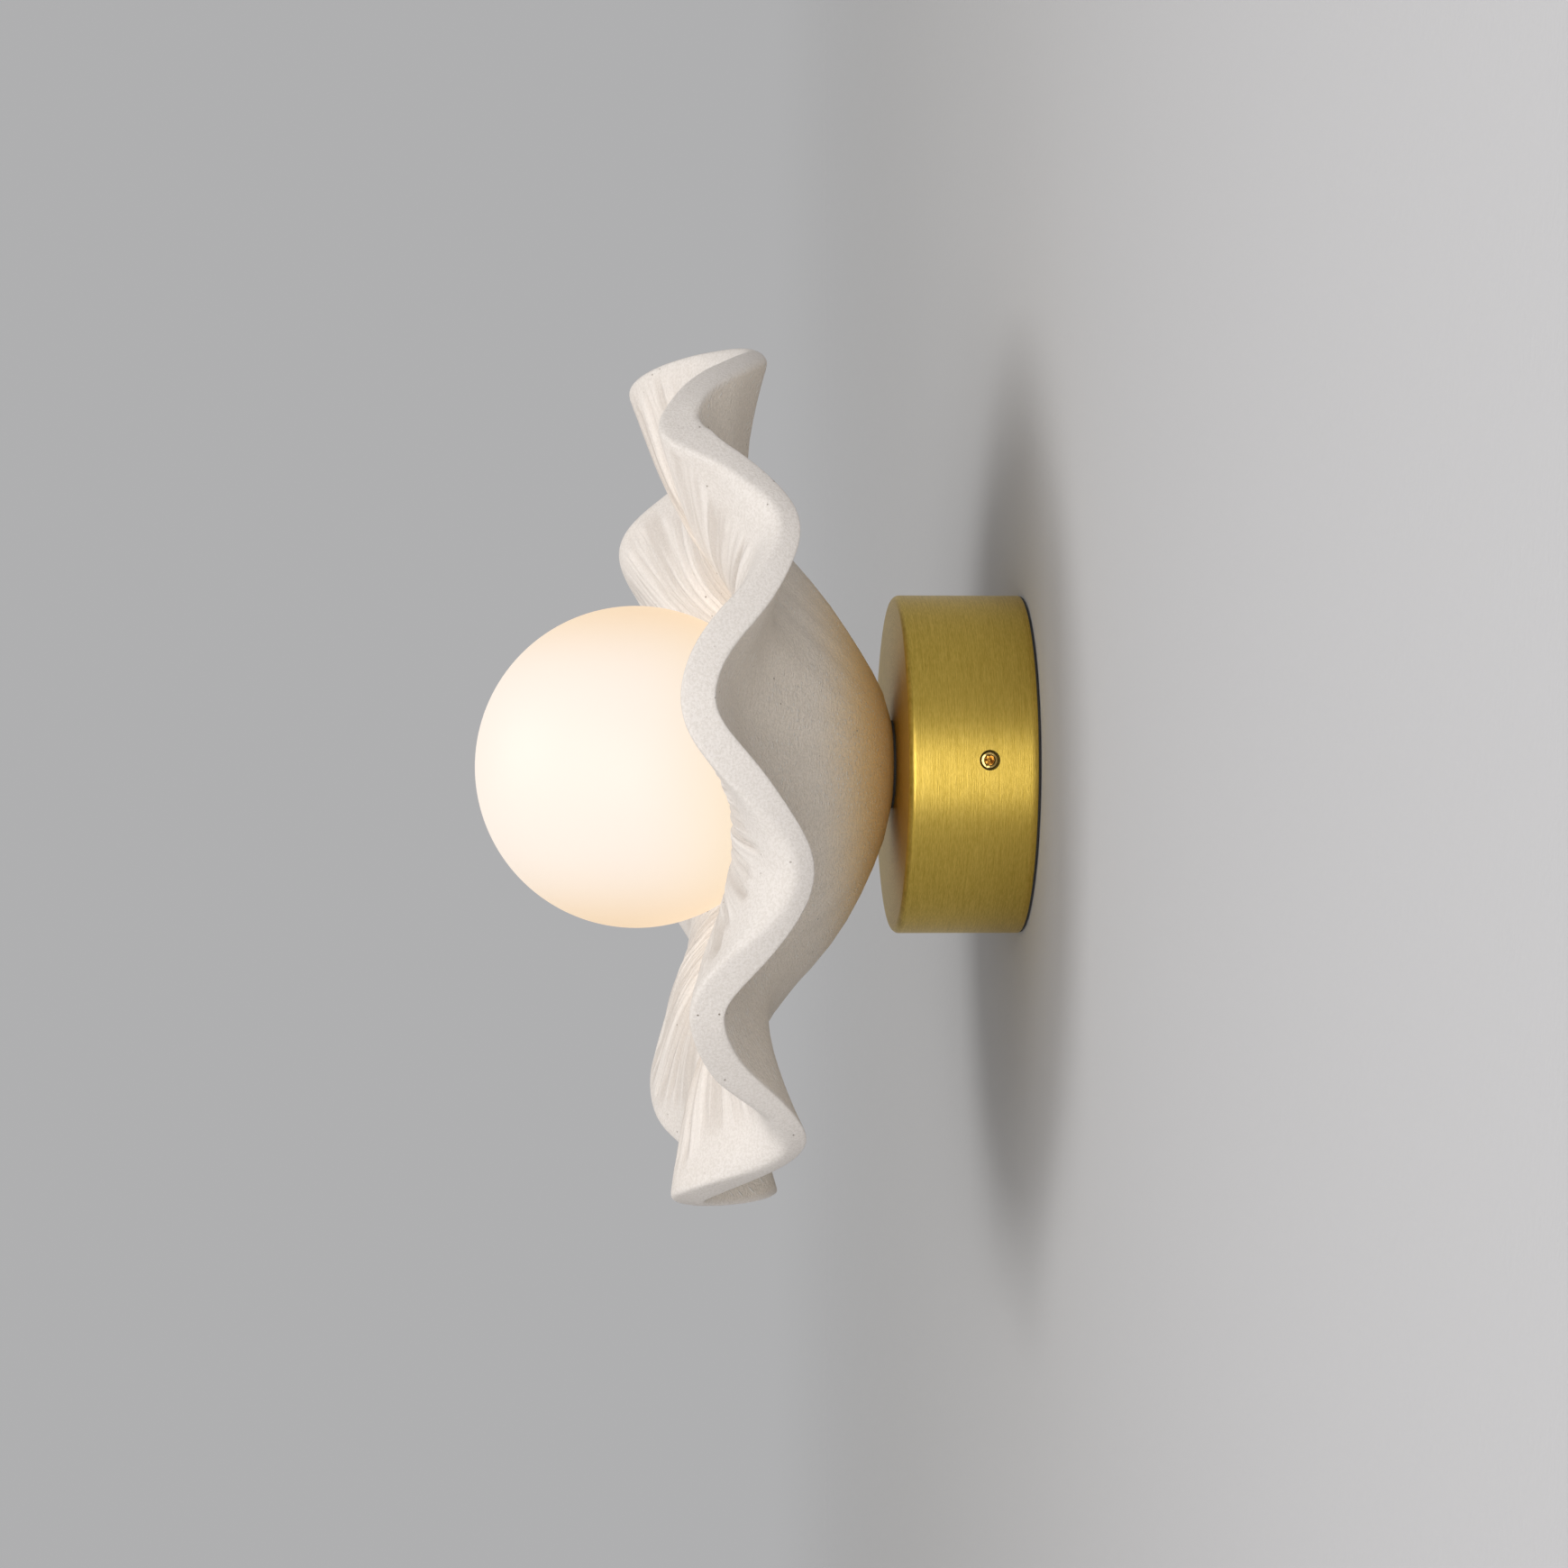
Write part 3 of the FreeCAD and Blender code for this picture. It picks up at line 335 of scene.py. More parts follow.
# Painted shade in the streaks' hollows and painted highlights on their ridges, over their real relief.
colour = clay.blend((1 - streak_bump_and_painted_light) * fluted * 0.42, colour, (0.56, 0.50, 0.45))
colour = clay.blend(streak_bump_and_painted_light * fluted * 0.45, colour, (0.93, 0.88, 0.84))
# Painted shade in the comb grooves, stronger where a groove is deeper.
colour = clay.blend(groove * 0.45, colour, (0.58, 0.53, 0.48))
# Painted highlight: the raised crumbs are painted pale.
colour = clay.blend(crumb_bump_and_highlight * 0.9, colour, (0.97, 0.95, 0.91))
# Painted shade in the pinholes.
colour = clay.blend(pinhole_pits_and_shade, colour, (0.33, 0.28, 0.23))
clay.drive(Base_Color=colour, Normal=clay.relief(height, RELIEF_DEPTH))
print("bisque ready")

# %% [markdown]
# ## The shade
# The potter rolls a flat disc of clay, rounds its edge, presses it into a bowl and then pushes the
# brim to and fro with the fingers. The mesh goes the same way: a flat slab is spun first, so that
# every point knows its radius, its angle and its height in the slab, and then each point moves to
# where the pressing takes it. The formulas are those of the CAD solid, so both have one form.

# %% Sizes of the shade, in mm and degrees
SHADE_SEAT = 38.8
SHADE_WALL = 9.9
SHADE_SEAT_RADIUS = 14.0
SHADE_HOLE_RADIUS = 6.0
SHADE_RIM_RADIUS = 127.0
SHADE_RIM_EDGE = 2.2
SHADE_RIM_SQUARENESS = 0.26
SHADE_HANG = 3.0
SHADE_HANG_REACH = 24.0
RUFFLE_START = 30.0
SHADE_PROFILE = [(0.0, 0.0), (9.0, 2.9), (18.0, 7.3), (28.0, 13.3), (36.0, 19.1), (42.0, 24.3), (48.0, 29.9),
                 (56.0, 36.7), (64.0, 41.9), (72.0, 45.3), (80.0, 47.1), (91.0, 48.3), (113.0, 49.0)]
HELD_ANGLE = -20.0
HELD_SPREAD = 13.0
DEEPEST_MARK = 2.0
SOFT_TROUGH_ANGLE = 82.0
SOFT_TROUGH_SPREAD = 16.0
TIGHT_BEND_ANGLE = 50.0
TIGHT_BEND_SPREAD = 8.0
EASED_FROM, EASED_WHOLLY = 75.0, 105.0
# Crests, troughs and one point between them: (angle, forward shift, wider by, how late it sets in)
RUFFLES = [
    (52.2, 14.7, -2.5, 1.6), (45.0, -1.0, -2.0, 1.6), (32.5, -14.3, 0.0, 1.6), (9.5, 11.7, 0.0, 1.6),
    (-12.5, -18.0, 0.0, 3.0), (-32.6, 8.2, 0.0, 1.6), (-56.5, -19.0, 0.0, 1.7), (-76.0, 8.2, 0.5, 1.6),
    (-97.0, -17.5, -0.5, 1.6), (-129.0, 8.2, 0.0, 1.6), (-153.0, -8.3, 0.0, 1.6), (-172.5, 11.7, -1.0, 1.6),
    (-191.0, -10.3, 0.0, 1.6), (-214.0, 16.6, -1.0, 1.6), (-231.0, -8.3, -1.0, 1.6),
    (-252.0, 16.8, -3.2, 1.6), (-278.0, -12.7, -1.6, 2.4)]
print("shade:", 2 * SHADE_RIM_RADIUS, "mm across before pressing,", len(RUFFLES), "points on its ruffles")


# %% A smooth curve through points
def smooth_curve(points, x):
    """Heights at x on a curve that is level at its crests and never swings past its points."""
    px, py = np.array(points, float).T
    slope = np.diff(py) / np.diff(px)
    before, after = slope[:-1], slope[1:]
    both = before * after > 0
    rate = np.zeros(len(px))
    rate[1:-1][both] = 2 * before[both] * after[both] / (before[both] + after[both])
    i = np.clip(np.searchsorted(px, x) - 1, 0, len(px) - 2)
    span = px[i + 1] - px[i]
    t = np.clip((x - px[i]) / span, 0, 1)
    rise = py[i + 1] - py[i]
    lead_in = rate[i] * span - rise
    lead_out = rise - rate[i + 1] * span
    return py[i] + t * rise + t * (1 - t) * (lead_in * (1 - t) + lead_out * t)


def ruffle(angle, column):
    """One column of the table of ruffles at any angle in degrees."""
    first = RUFFLES[0][0]
    stops = [(first - stop[0], stop[column]) for stop in RUFFLES]
    before = (stops[-1][0] - 360.0, stops[-1][1])
    after = [(place + 360.0, value) for place, value in stops[:2]]
    return smooth_curve([before] + stops + after, (first - angle) % 360.0)


print("depth of the bowl halfway out, in mm:", smooth_curve(SHADE_PROFILE, np.array([56.0])).round(1))

# %% Press the slab
def pressed(radius, angle):
    """Where the middle of the wall goes, as rows of x, y, z in mm."""
    past_seat = np.maximum(0, radius - SHADE_SEAT_RADIUS)
    whole = SHADE_RIM_RADIUS - SHADE_SEAT_RADIUS
    growth = np.maximum(0, past_seat - RUFFLE_START) / (whole - RUFFLE_START)
    rise = smooth_curve(SHADE_PROFILE, past_seat) + ruffle(angle, 1) * growth ** ruffle(angle, 3)
    wide = radius + ruffle(angle, 2) * past_seat / whole
    hang = SHADE_HANG * np.minimum(1, past_seat / SHADE_HANG_REACH)
    turn = np.radians(angle)
    depth = SHADE_SEAT + SHADE_WALL / 2 + rise
    return np.stack([wide * np.cos(turn), -depth, wide * np.sin(turn) - hang], 1)


def softened(radius, angle):
    """The same, eased over about a fingertip's width of the rim, as the CAD skin is."""
    reach = 2.5  # degrees
    sides = pressed(radius, angle - reach) + pressed(radius, angle + reach)
    return (4 * pressed(radius, angle) + sides) / 6


def unit(rows):
    return rows / np.linalg.norm(rows, axis=1, keepdims=True)


top_of_rim = softened(np.array([SHADE_RIM_RADIUS]), np.array([90.0]))
print("middle of the rim at the top, in mm:", top_of_rim.round(1))

# %% Comb marks of the room side
COMB_MARKS = 200
COMB_STARTS, COMB_IS_DEEP = 24.0, 64.0    # radii between which the marks grow to their depth
COMB_END_FADE = 3.0
GRIP_STARTS, GRIP_IS_DEEP = 88.0, 104.0   # radii between which the held marks grow into dents
GRIP_EXTRA = 1.6


def share_of_way(value, start, end):
    """0 before start, 1 past end, and evenly between."""
    return np.clip((value - start) / (end - start), 0, 1)


def comb_reach(angle):
    """How far out the comb went, in mm of radius: on the crests nearly to the edge."""
    return 112.0 + 10.0 * share_of_way(ruffle(angle, 1), 0.0, 8.0)


def comb_marks(radius, angle, seed=7):
    """Depth in mm of two hundred soft grooves that fan out towards the rim. They run furthest on the
    crests, and become deep dents at one trough of the brim, where the fingers held it."""
    dice = np.random.default_rng(seed)
    starts = (np.arange(COMB_MARKS) + dice.uniform(-0.34, 0.34, COMB_MARKS)) * 360.0 / COMB_MARKS - 180.0
    held = np.exp(-((starts - HELD_ANGLE) / HELD_SPREAD) ** 2)
    depths = dice.uniform(0.18, 0.85, COMB_MARKS)
    widths = np.radians(360.0 / COMB_MARKS) * dice.uniform(0.22, 0.46, COMB_MARKS) * (1 + 0.5 * held)
    ends = comb_reach(starts) + dice.uniform(-7.0, 3.0, COMB_MARKS) + 5.0 * held
    leans = dice.uniform(-0.7, 0.7, COMB_MARKS) + 1.8 * np.sin(np.radians(starts * 3)) - 2.4 * held
    total = np.zeros(len(radius))
    for start, depth, width, end, lean, grip in zip(starts, depths, widths, ends, leans, held):
        middle = start + lean * (radius - 80.0) / 30.0
        away = (angle - middle + 180.0) % 360.0 - 180.0
        near = np.abs(away) < 4.0
        across = np.radians(away[near]) / width
        across *= np.where(across > 0, 1 + GRIP_EXTRA * grip, 1.0)
        reach = radius[near]
        fade = share_of_way(reach, COMB_STARTS, COMB_IS_DEEP) * np.clip((end - reach) / COMB_END_FADE, 0, 1)
        dent = 1 + GRIP_EXTRA * grip * share_of_way(reach, GRIP_STARTS, GRIP_IS_DEEP)
        total[near] += depth * dent * np.exp(-across ** 2) * fade ** 0.7
    return np.minimum(total, DEEPEST_MARK)


print("comb marks:", COMB_MARKS)

# %% Traces of the hand
LEAST_ROOM_ROUNDING, EXTRA_ROOM_ROUNDING, DEEP_TROUGH = 1.1, 4.2, -14.0
LEAST_WALL_ROUNDING, EXTRA_WALL_ROUNDING = 0.3, 3.2
TALL_CREST, TALLEST_CREST = 11.7, 15.7
ROOM_ROUNDING_SPREAD = 2.3    # how much wider than deep the rounding of the room side is


def thumbed(off_middle, from_edge, angle):
    """Rounds the rim's edges: the room side broadly in the troughs, the wall side at the tallest crests
    and at one soft trough."""
    shift = ruffle(angle, 1)
    room_size = LEAST_ROOM_ROUNDING + EXTRA_ROOM_ROUNDING * share_of_way(shift, 0.0, DEEP_TROUGH)
    soft_trough = np.exp(-((angle - SOFT_TROUGH_ANGLE) / SOFT_TROUGH_SPREAD) ** 2)
    softness = np.maximum(share_of_way(shift, TALL_CREST, TALLEST_CREST), soft_trough)
    wall_size = LEAST_WALL_ROUNDING + EXTRA_WALL_ROUNDING * softness
    share = off_middle / SHADE_WALL + 0.5
    drops = []
    for size, spread in ((room_size, ROOM_ROUNDING_SPREAD), (wall_size, 1.0)):
        left = np.clip(1 - from_edge / (size * spread), 0, 1)
        drops.append(size * (1 - np.sqrt(1 - left ** 2)))
    return off_middle - drops[0] * share + drops[1] * (1 - share)


def unevenness(radius, angle, strength=0.22):
    """A slow wander of the wall in mm, as no hand keeps an even thickness."""
    turn = np.radians(angle)
    total = np.zeros(len(radius))
    for waves, phase, twist in ((7, 0.4, 0.021), (12, 2.1, -0.034), (19, 4.0, 0.052), (31, 1.3, -0.071)):
        total += strength * np.sin(waves * turn + phase + twist * radius)
    return total * share_of_way(radius, 30.0, 70.0)


print("least and extra rounding of the room side, in mm:", LEAST_ROOM_ROUNDING, EXTRA_ROOM_ROUNDING)

# %% Build the shade
ROUND_STEPS = 1320
last = SHADE_RIM_RADIUS - SHADE_RIM_EDGE
half = SHADE_WALL / 2
room_radii = [SHADE_HOLE_RADIUS, *np.linspace(SHADE_SEAT_RADIUS, 88, 14), *np.linspace(91, 115, 11),
              *np.linspace(117, last, 8)]
wall_radii = [SHADE_HOLE_RADIUS, *np.linspace(SHADE_SEAT_RADIUS, 108, 15), *np.linspace(112, last, 8)]
slab = [(radius, half) for radius in room_radii]
corner_steps = [89, 86, 80, 70, 56, 38, 18]
for degrees in [*corner_steps, 0, *(-step for step in reversed(corner_steps))]:
    turn = math.radians(degrees)
    side = math.copysign(abs(math.sin(turn)) ** SHADE_RIM_SQUARENESS, math.sin(turn))
    slab.append((last + SHADE_RIM_EDGE * math.cos(turn) ** SHADE_RIM_SQUARENESS, half * side))
slab += [(radius, -half) for radius in reversed(wall_radii)]
blank = spun(slab, ROUND_STEPS, sectors=24)

flat = np.array([vert.co for vert in blank.verts]) / MM
slab_radius = np.hypot(flat[:, 0], flat[:, 2])
slab_angle = np.degrees(np.arctan2(flat[:, 2], flat[:, 0]))
room_face = np.clip(-flat[:, 1] / half, 0, 1)
combed = comb_marks(slab_radius, slab_angle) * room_face ** 3
off_middle = thumbed(-flat[:, 1], SHADE_RIM_RADIUS - slab_radius, slab_angle)
off_middle += unevenness(slab_radius, slab_angle) - combed


def moved(angle):
    """Where the slab's points go when each is pressed as at another angle, in mm."""
    radius = np.minimum(slab_radius, last)
    here = softened(radius, angle)
    outward = unit(here - softened(radius - 0.05, angle))
    turn = np.radians(angle)
    seat = radius <= SHADE_SEAT_RADIUS
    outward[seat] = np.stack([np.cos(turn), 0 * turn, np.sin(turn)], 1)[seat]
    around = softened(radius, angle + 0.02) - softened(radius, angle - 0.02)
    forward = unit(np.cross(outward, around))
    forward[forward[:, 1] > 0] *= -1
    return here + forward * off_middle[:, None] + outward * (slab_radius - radius)[:, None]


# Near the upper tip the brim bends so tightly that its wall side would crease, so it is eased there.
wall_share = np.clip(0.5 + flat[:, 1] / SHADE_WALL, 0, 1)
wall_share *= share_of_way(slab_radius, EASED_FROM, EASED_WHOLLY)
wall_share *= 0.9 * np.exp(-((slab_angle - TIGHT_BEND_ANGLE) / TIGHT_BEND_SPREAD) ** 2)
eased = sum(moved(slab_angle + step) for step in (-6.0, -3.0, 3.0, 6.0)) / 4
solid = moved(slab_angle) * (1 - wall_share)[:, None] + eased * wall_share[:, None]
for vert, place in zip(blank.verts, solid * MM):
    vert.co = place
bmesh.ops.recalc_face_normals(blank, faces=blank.faces)
shade = piece("shade", blank, clay, "bisque_ceramic", "fitting", "ceramic_shade", sharp=75.0)
on_rim = np.clip(np.maximum(slab_radius - last, 0) / SHADE_RIM_EDGE + room_face, 0, 1)
past_comb = slab_radius - comb_reach(slab_angle)
fluted = room_face ** 3 * share_of_way(past_comb, COMB_END_FADE, -COMB_END_FADE)
for name, values in (("room_side", on_rim), ("groove", combed / DEEPEST_MARK), ("fluted", fluted)):
    shade.data.attributes.new(name, "FLOAT", "POINT").data.foreach_set("value", values.astype(np.float32))
print("shade box in mm:", solid.min(0).round(1), solid.max(0).round(1))
print("deepest mark in mm:", round(combed.max(), 2))

# %% [markdown]
# ## The globe
# The globe is blown opal glass, lit from inside: cream white over most of it and a little peach
# towards its top and bottom, where less light comes through. Tracing a lamp through white glass
# would be slow and grainy, so the glass itself gives off its light here.

# %% Opal glass finish
GLOBE_RADIUS = 47.5
GLOBE_WALL = 2.5
GLOBE_DEPTH = 113.8
GLOBE_DROP = 0.8
CREAM_DEPTH, YELLOW_DEPTH = 118.0, 78.0
opal = Finish("opal", Roughness=0.5, IOR=1.4, Base_Color=(0.28, 0.27, 0.26, 1), Emission_Strength=0.73)
x, y, z = opal.part_of(opal.place())
lift = z + GLOBE_DROP * MM
aside = opal.between(lift * lift, 0.0, (GLOBE_RADIUS * MM) ** 2)
towards_neck = opal.between(y, -CREAM_DEPTH * MM, -YELLOW_DEPTH * MM, 0.0, 0.8)
cream, peach, yellow = (1.0, 0.865, 0.745), (1.0, 0.73, 0.455), (1.0, 0.81, 0.55)
opal.drive(Emission_Color=opal.blend(aside ** 1.6, opal.blend(towards_neck, cream, yellow), peach))
print("opal ready")

# %% Blow the globe
NECK_RADIUS = 20.0
NECK_END = 58.2
neck_angle = 180.0 - math.degrees(math.asin(NECK_RADIUS / GLOBE_RADIUS))
inner_neck = NECK_RADIUS - GLOBE_WALL
inner_angle = 180.0 - math.degrees(math.asin(inner_neck / (GLOBE_RADIUS - GLOBE_WALL)))
outline = arc(GLOBE_DEPTH, GLOBE_RADIUS, 0.0, neck_angle, 64)
outline += [(NECK_RADIUS, NECK_END), (inner_neck, NECK_END)]
outline += list(reversed(arc(GLOBE_DEPTH, GLOBE_RADIUS - GLOBE_WALL, 0.0, inner_angle, 48)))
blown = spun(outline, 192, closed=False)
round_rim(blown, NECK_RADIUS, NECK_END, 0.8)
round_rim(blown, inner_neck, NECK_END, 0.8)
bmesh.ops.translate(blown, verts=blown.verts, vec=(0, 0, -GLOBE_DROP * MM))
globe = piece("globe", blown, opal, "opal_glass", "globe", "glass_globe")

# %% [markdown]
# ## The brass
# The cup is turned from brass and brushed while it spins, so its scratches run round it, some a
# centimetre or more long and some a few millimetres. Noise that is squeezed along the axis and drawn
# out round it gives both, and the front face gets the same scratches in rings. The photograph shows
# a nearly black line round the set screw, so the brass is darkened inside the screws' holes.
# That darkening is painted shade in the narrow gap round each screw.

# %% Brushed brass finish
SCREW_DEPTH = 14.7
SCREW_HEIGHT = 1.0
SCREW_HOLE_RADIUS = 2.9
brushed = Finish("brushed brass", Metallic=1.0)
long_scratches = brushed.noise(brushed.round_axis(4.5, 3800.0), 1.0, 2.0, 0.6)
short_scratches = brushed.noise(brushed.round_axis(26.0, 4600.0), 1.0, 2.0, 0.6)
patina = brushed.noise(brushed.place(), 30.0, 3.0)
hair = long_scratches * 0.45 + short_scratches * 0.55
tone = brushed.between(hair, 0.34, 0.66)
x, y, z = brushed.part_of(brushed.place())


def off_screw_axis(y, z):
    """Distance in metres from the line that the two set screws share."""
    down, across = z - SCREW_HEIGHT * MM, y + SCREW_DEPTH * MM
    return (down * down + across * across) ** 0.5


from_screw = off_screw_axis(y, z)
dark_edge, bright_edge = (SCREW_HOLE_RADIUS + 0.02) * MM, (SCREW_HOLE_RADIUS + 0.12) * MM
# Painted shade: the brass is darkened inside the screw holes, where the narrow gap is in shade.
painted_hole_shade = brushed.between(from_screw, dark_edge, bright_edge, 0.92, 0.0)
colour = brushed.blend(tone, (0.52, 0.36, 0.060), (0.70, 0.50, 0.105))
brushed.drive(Base_Color=brushed.blend(painted_hole_shade, colour, (0.03, 0.02, 0.006)),
              Roughness=0.28 + (1 - hair) * 0.12 + patina * 0.05, Normal=brushed.relief(hair, 0.00005))
print("brass ready")

# %% [markdown]
# ## The wall cup
# A deep cup with a 3 mm rounded front edge and a thin black gasket behind it. A Boolean drills the
# two holes for the set screws: drawing the holes into the spun grid by hand would bend its lines.

# %% Turn and drill the cup
CUP_RADIUS = 50.0
CUP_WALL = 1.5
CUP_BACK = 0.5
CUP_FRONT = 38.0
CUP_EDGE = 3.0
TUBE_HOLE = 5.2
inside = CUP_RADIUS - CUP_WALL
side_rows = [(CUP_RADIUS, depth) for depth in np.linspace(CUP_BACK, CUP_FRONT, 20)]
cup_shape = spun([(TUBE_HOLE, CUP_FRONT - CUP_WALL), (inside, CUP_FRONT - CUP_WALL), (inside, CUP_BACK),
                  *side_rows, (TUBE_HOLE, CUP_FRONT)], 384)
round_rim(cup_shape, CUP_RADIUS, CUP_FRONT, CUP_EDGE, 8)
round_rim(cup_shape, inside, CUP_FRONT - CUP_WALL, CUP_EDGE - CUP_WALL, 4)
round_rim(cup_shape, CUP_RADIUS, CUP_BACK, 0.25, 2)
cup = piece("cup", cup_shape, brushed, "brushed_brass", "fitting", "wall_cup", sharp=30.0)


def rod(radius, length, x, segments=48):
    """A bar along X through the set screws' place, centred at x; sizes in mm."""
    bar = bmesh.new()
    bmesh.ops.create_cone(bar, cap_ends=True, segments=segments, radius1=radius * MM, radius2=radius * MM,
                          depth=length * MM)
    bmesh.ops.rotate(bar, verts=bar.verts, cent=(0, 0, 0), matrix=Matrix.Rotation(math.pi / 2, 3, "Y"))
    bmesh.ops.translate(bar, verts=bar.verts, vec=Vector((x, -SCREW_DEPTH, SCREW_HEIGHT)) * MM)
    return bar


cut_away(cup, rod(SCREW_HOLE_RADIUS, 110.0, 0.0), sharp=30.0)
print("cup drilled:", len(cup.data.polygons), "faces")

# %% [markdown]
# ## Set screws
# Headless M5 screws with a hexagon socket. The end seen from outside is a small bright ring round the
# socket, sunk just below the cup's face. A hexagonal bar cuts the socket, as a broach would.

# %% Plain brass finish: a bright ring, amber in the socket, and painted shade round the ring and in the socket
SCREW_LENGTH = 8.0
SCREW_SUNK = 0.8
SOCKET_EDGE, RING_INNER_EDGE, RING_OUTER_EDGE = (1.35, 1.50), (1.65, 1.85), (2.15, 2.35)  # fading radii
outer_end = CUP_RADIUS - SCREW_SUNK
plain_brass = Finish("plain brass", Metallic=1.0)
x, y, z = plain_brass.part_of(plain_brass.place())
turned = plain_brass.noise(plain_brass.place(), 700.0, 2.0)
off_axis = off_screw_axis(y, z) / MM
ring = plain_brass.between(off_axis, *RING_INNER_EDGE)
ring = ring * plain_brass.between(off_axis, *RING_OUTER_EDGE, 1.0, 0.0)
socket = plain_brass.between(off_axis, *SOCKET_EDGE, 1.0, 0.0)
# Painted shade: dark brass outside the ring and between ring and socket, and a dark mottle in the amber
# socket.
socket_amber_and_shade = plain_brass.blend(plain_brass.between(turned, 0.42, 0.58), (0.10, 0.035, 0.005), (0.62, 0.30, 0.05))
colour = plain_brass.blend(socket, (0.085, 0.055, 0.014), socket_amber_and_shade)
colour = plain_brass.blend(ring, colour, (0.72, 0.50, 0.17))
plain_brass.drive(Base_Color=colour, Roughness=0.12 + turned * 0.12,
                  Normal=plain_brass.relief(turned, 0.00020))
print("screws end", outer_end, "mm from the axis")

# %% Cut the set screws
SCREW_RADIUS = 2.5
SOCKET_FLATS = 2.5
SOCKET_DEPTH = 2.5
for side, name in ((1, "set_screw_right"), (-1, "set_screw_left")):
    shank = rod(SCREW_RADIUS, SCREW_LENGTH, side * (outer_end - SCREW_LENGTH / 2))
    ends = [edge for edge in shank.edges if len(edge.link_faces) == 2
            and any(len(face.verts) > 4 for face in edge.link_faces)]
    bmesh.ops.bevel(shank, geom=ends, offset=0.3 * MM, offset_type="OFFSET", affect="EDGES", segments=2,
                    profile=0.5, material=-1, clamp_overlap=True)
    screw = piece(name, shank, plain_brass, "screw_brass", name, name, sharp=30.0)
    socket_radius = SOCKET_FLATS / math.sqrt(3.0)
    cut_away(screw, rod(socket_radius, 2 * SOCKET_DEPTH, side * outer_end, 6), sharp=30.0)

# %% [markdown]
# ## Gasket, globe holder and seal
# Three more turned rings. The gasket is a thin black line between cup and wall; the holder is a small
# brass cup that takes the globe's neck, and the seal is a milky silicone ring.

# %% Rubber finishes
def soft(name, colour, worn, roughness, speckle):
    finish = Finish(name)
    spots = finish.noise(finish.place(), speckle, 3.0)
    finish.drive(Base_Color=finish.blend(spots, colour, worn), Roughness=roughness + spots * 0.15,
                 Normal=finish.relief(spots, 0.0001))
    return finish


black_rubber = soft("black rubber", (0.012, 0.012, 0.012), (0.035, 0.034, 0.033), 0.75, 2600.0)
silicone = soft("milky silicone", (0.72, 0.72, 0.69), (0.80, 0.80, 0.78), 0.42, 240.0)
print("rubbers ready")

# %% Turn the rings
GASKET_RADIUS = 49.8
GASKET_HOLE = 44.8
gasket_shape = spun([(GASKET_HOLE, 0.0), (GASKET_RADIUS, 0.0), (GASKET_RADIUS, CUP_BACK),
                     (GASKET_HOLE, CUP_BACK)], 192)
round_rim(gasket_shape, GASKET_RADIUS, 0.0, 0.12, 2)
piece("gasket", gasket_shape, black_rubber, "rubber_black", "fitting", "wall_gasket")

low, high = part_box("globe_seal")
seal_radius = (high.y - low.y) / 2 / MM
seal_ring = (high.x - low.x) / 2 / MM - seal_radius
seal_depth = -(high.y + low.y) / 2 / MM
seal_shape = spun([(seal_ring + seal_radius * math.cos(t), seal_depth + seal_radius * math.sin(t))
                   for t in (math.radians(20 * i) for i in range(18))], 128)
bmesh.ops.translate(seal_shape, verts=seal_shape.verts, vec=(0, 0, -GLOBE_DROP * MM))
piece("seal", seal_shape, silicone, "silicone", "seal", "globe_seal")

holder_low, holder_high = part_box("globe_holder")
HOLDER_BACK = -holder_high.y / MM
HOLDER_FRONT = -holder_low.y / MM
HOLDER_RADIUS = holder_high.x / MM
HOLDER_WALL, HOLDER_BASE, HOLDER_CONE, HOLDER_FOOT = 2.5, 1.5, 6.0, 12.5
holder_floor = HOLDER_BACK + HOLDER_BASE
holder_bore = HOLDER_RADIUS - HOLDER_WALL
holder_shape = spun([(TUBE_HOLE, HOLDER_BACK), (HOLDER_FOOT, HOLDER_BACK),
                     (HOLDER_RADIUS, HOLDER_BACK + HOLDER_CONE), (HOLDER_RADIUS, HOLDER_FRONT),
                     (holder_bore, HOLDER_FRONT),
                     (holder_bore, holder_floor + HOLDER_CONE), (HOLDER_FOOT - HOLDER_WALL, holder_floor),
                     (TUBE_HOLE, holder_floor)], 128)
round_rim(holder_shape, HOLDER_RADIUS, HOLDER_FRONT, 0.5, 3)
round_rim(holder_shape, holder_bore, HOLDER_FRONT, 0.5, 3)
round_rim(holder_shape, HOLDER_RADIUS, HOLDER_BACK + HOLDER_CONE, 1.2, 4)
piece("holder", holder_shape, brushed, "brushed_brass", "fitting", "globe_holder", sharp=30.0)

# %% [markdown]
# ## Finishes of the hidden pieces
# The pieces inside the cup and globe keep their CAD meshes and get their own finishes: zinc-plated
# steel with its faint cloudy spangle, moulded plastics, glazed steatite and sleeved leads.

# %% Zinc, plastics and leads
def cloudy(name, first, second, roughness, scale, depth=0.00003, **constants):
    """A finish whose colour, gloss and surface all follow one cloudy noise."""
    finish = Finish(name, **constants)
    cloud = finish.noise(finish.place(), scale, 4.0, 0.6)
    mottle = finish.between(cloud, 0.32, 0.68)
    finish.drive(Base_Color=finish.blend(mottle, first, second), Roughness=roughness + mottle * 0.12,
                 Normal=finish.relief(cloud, depth))
    return finish


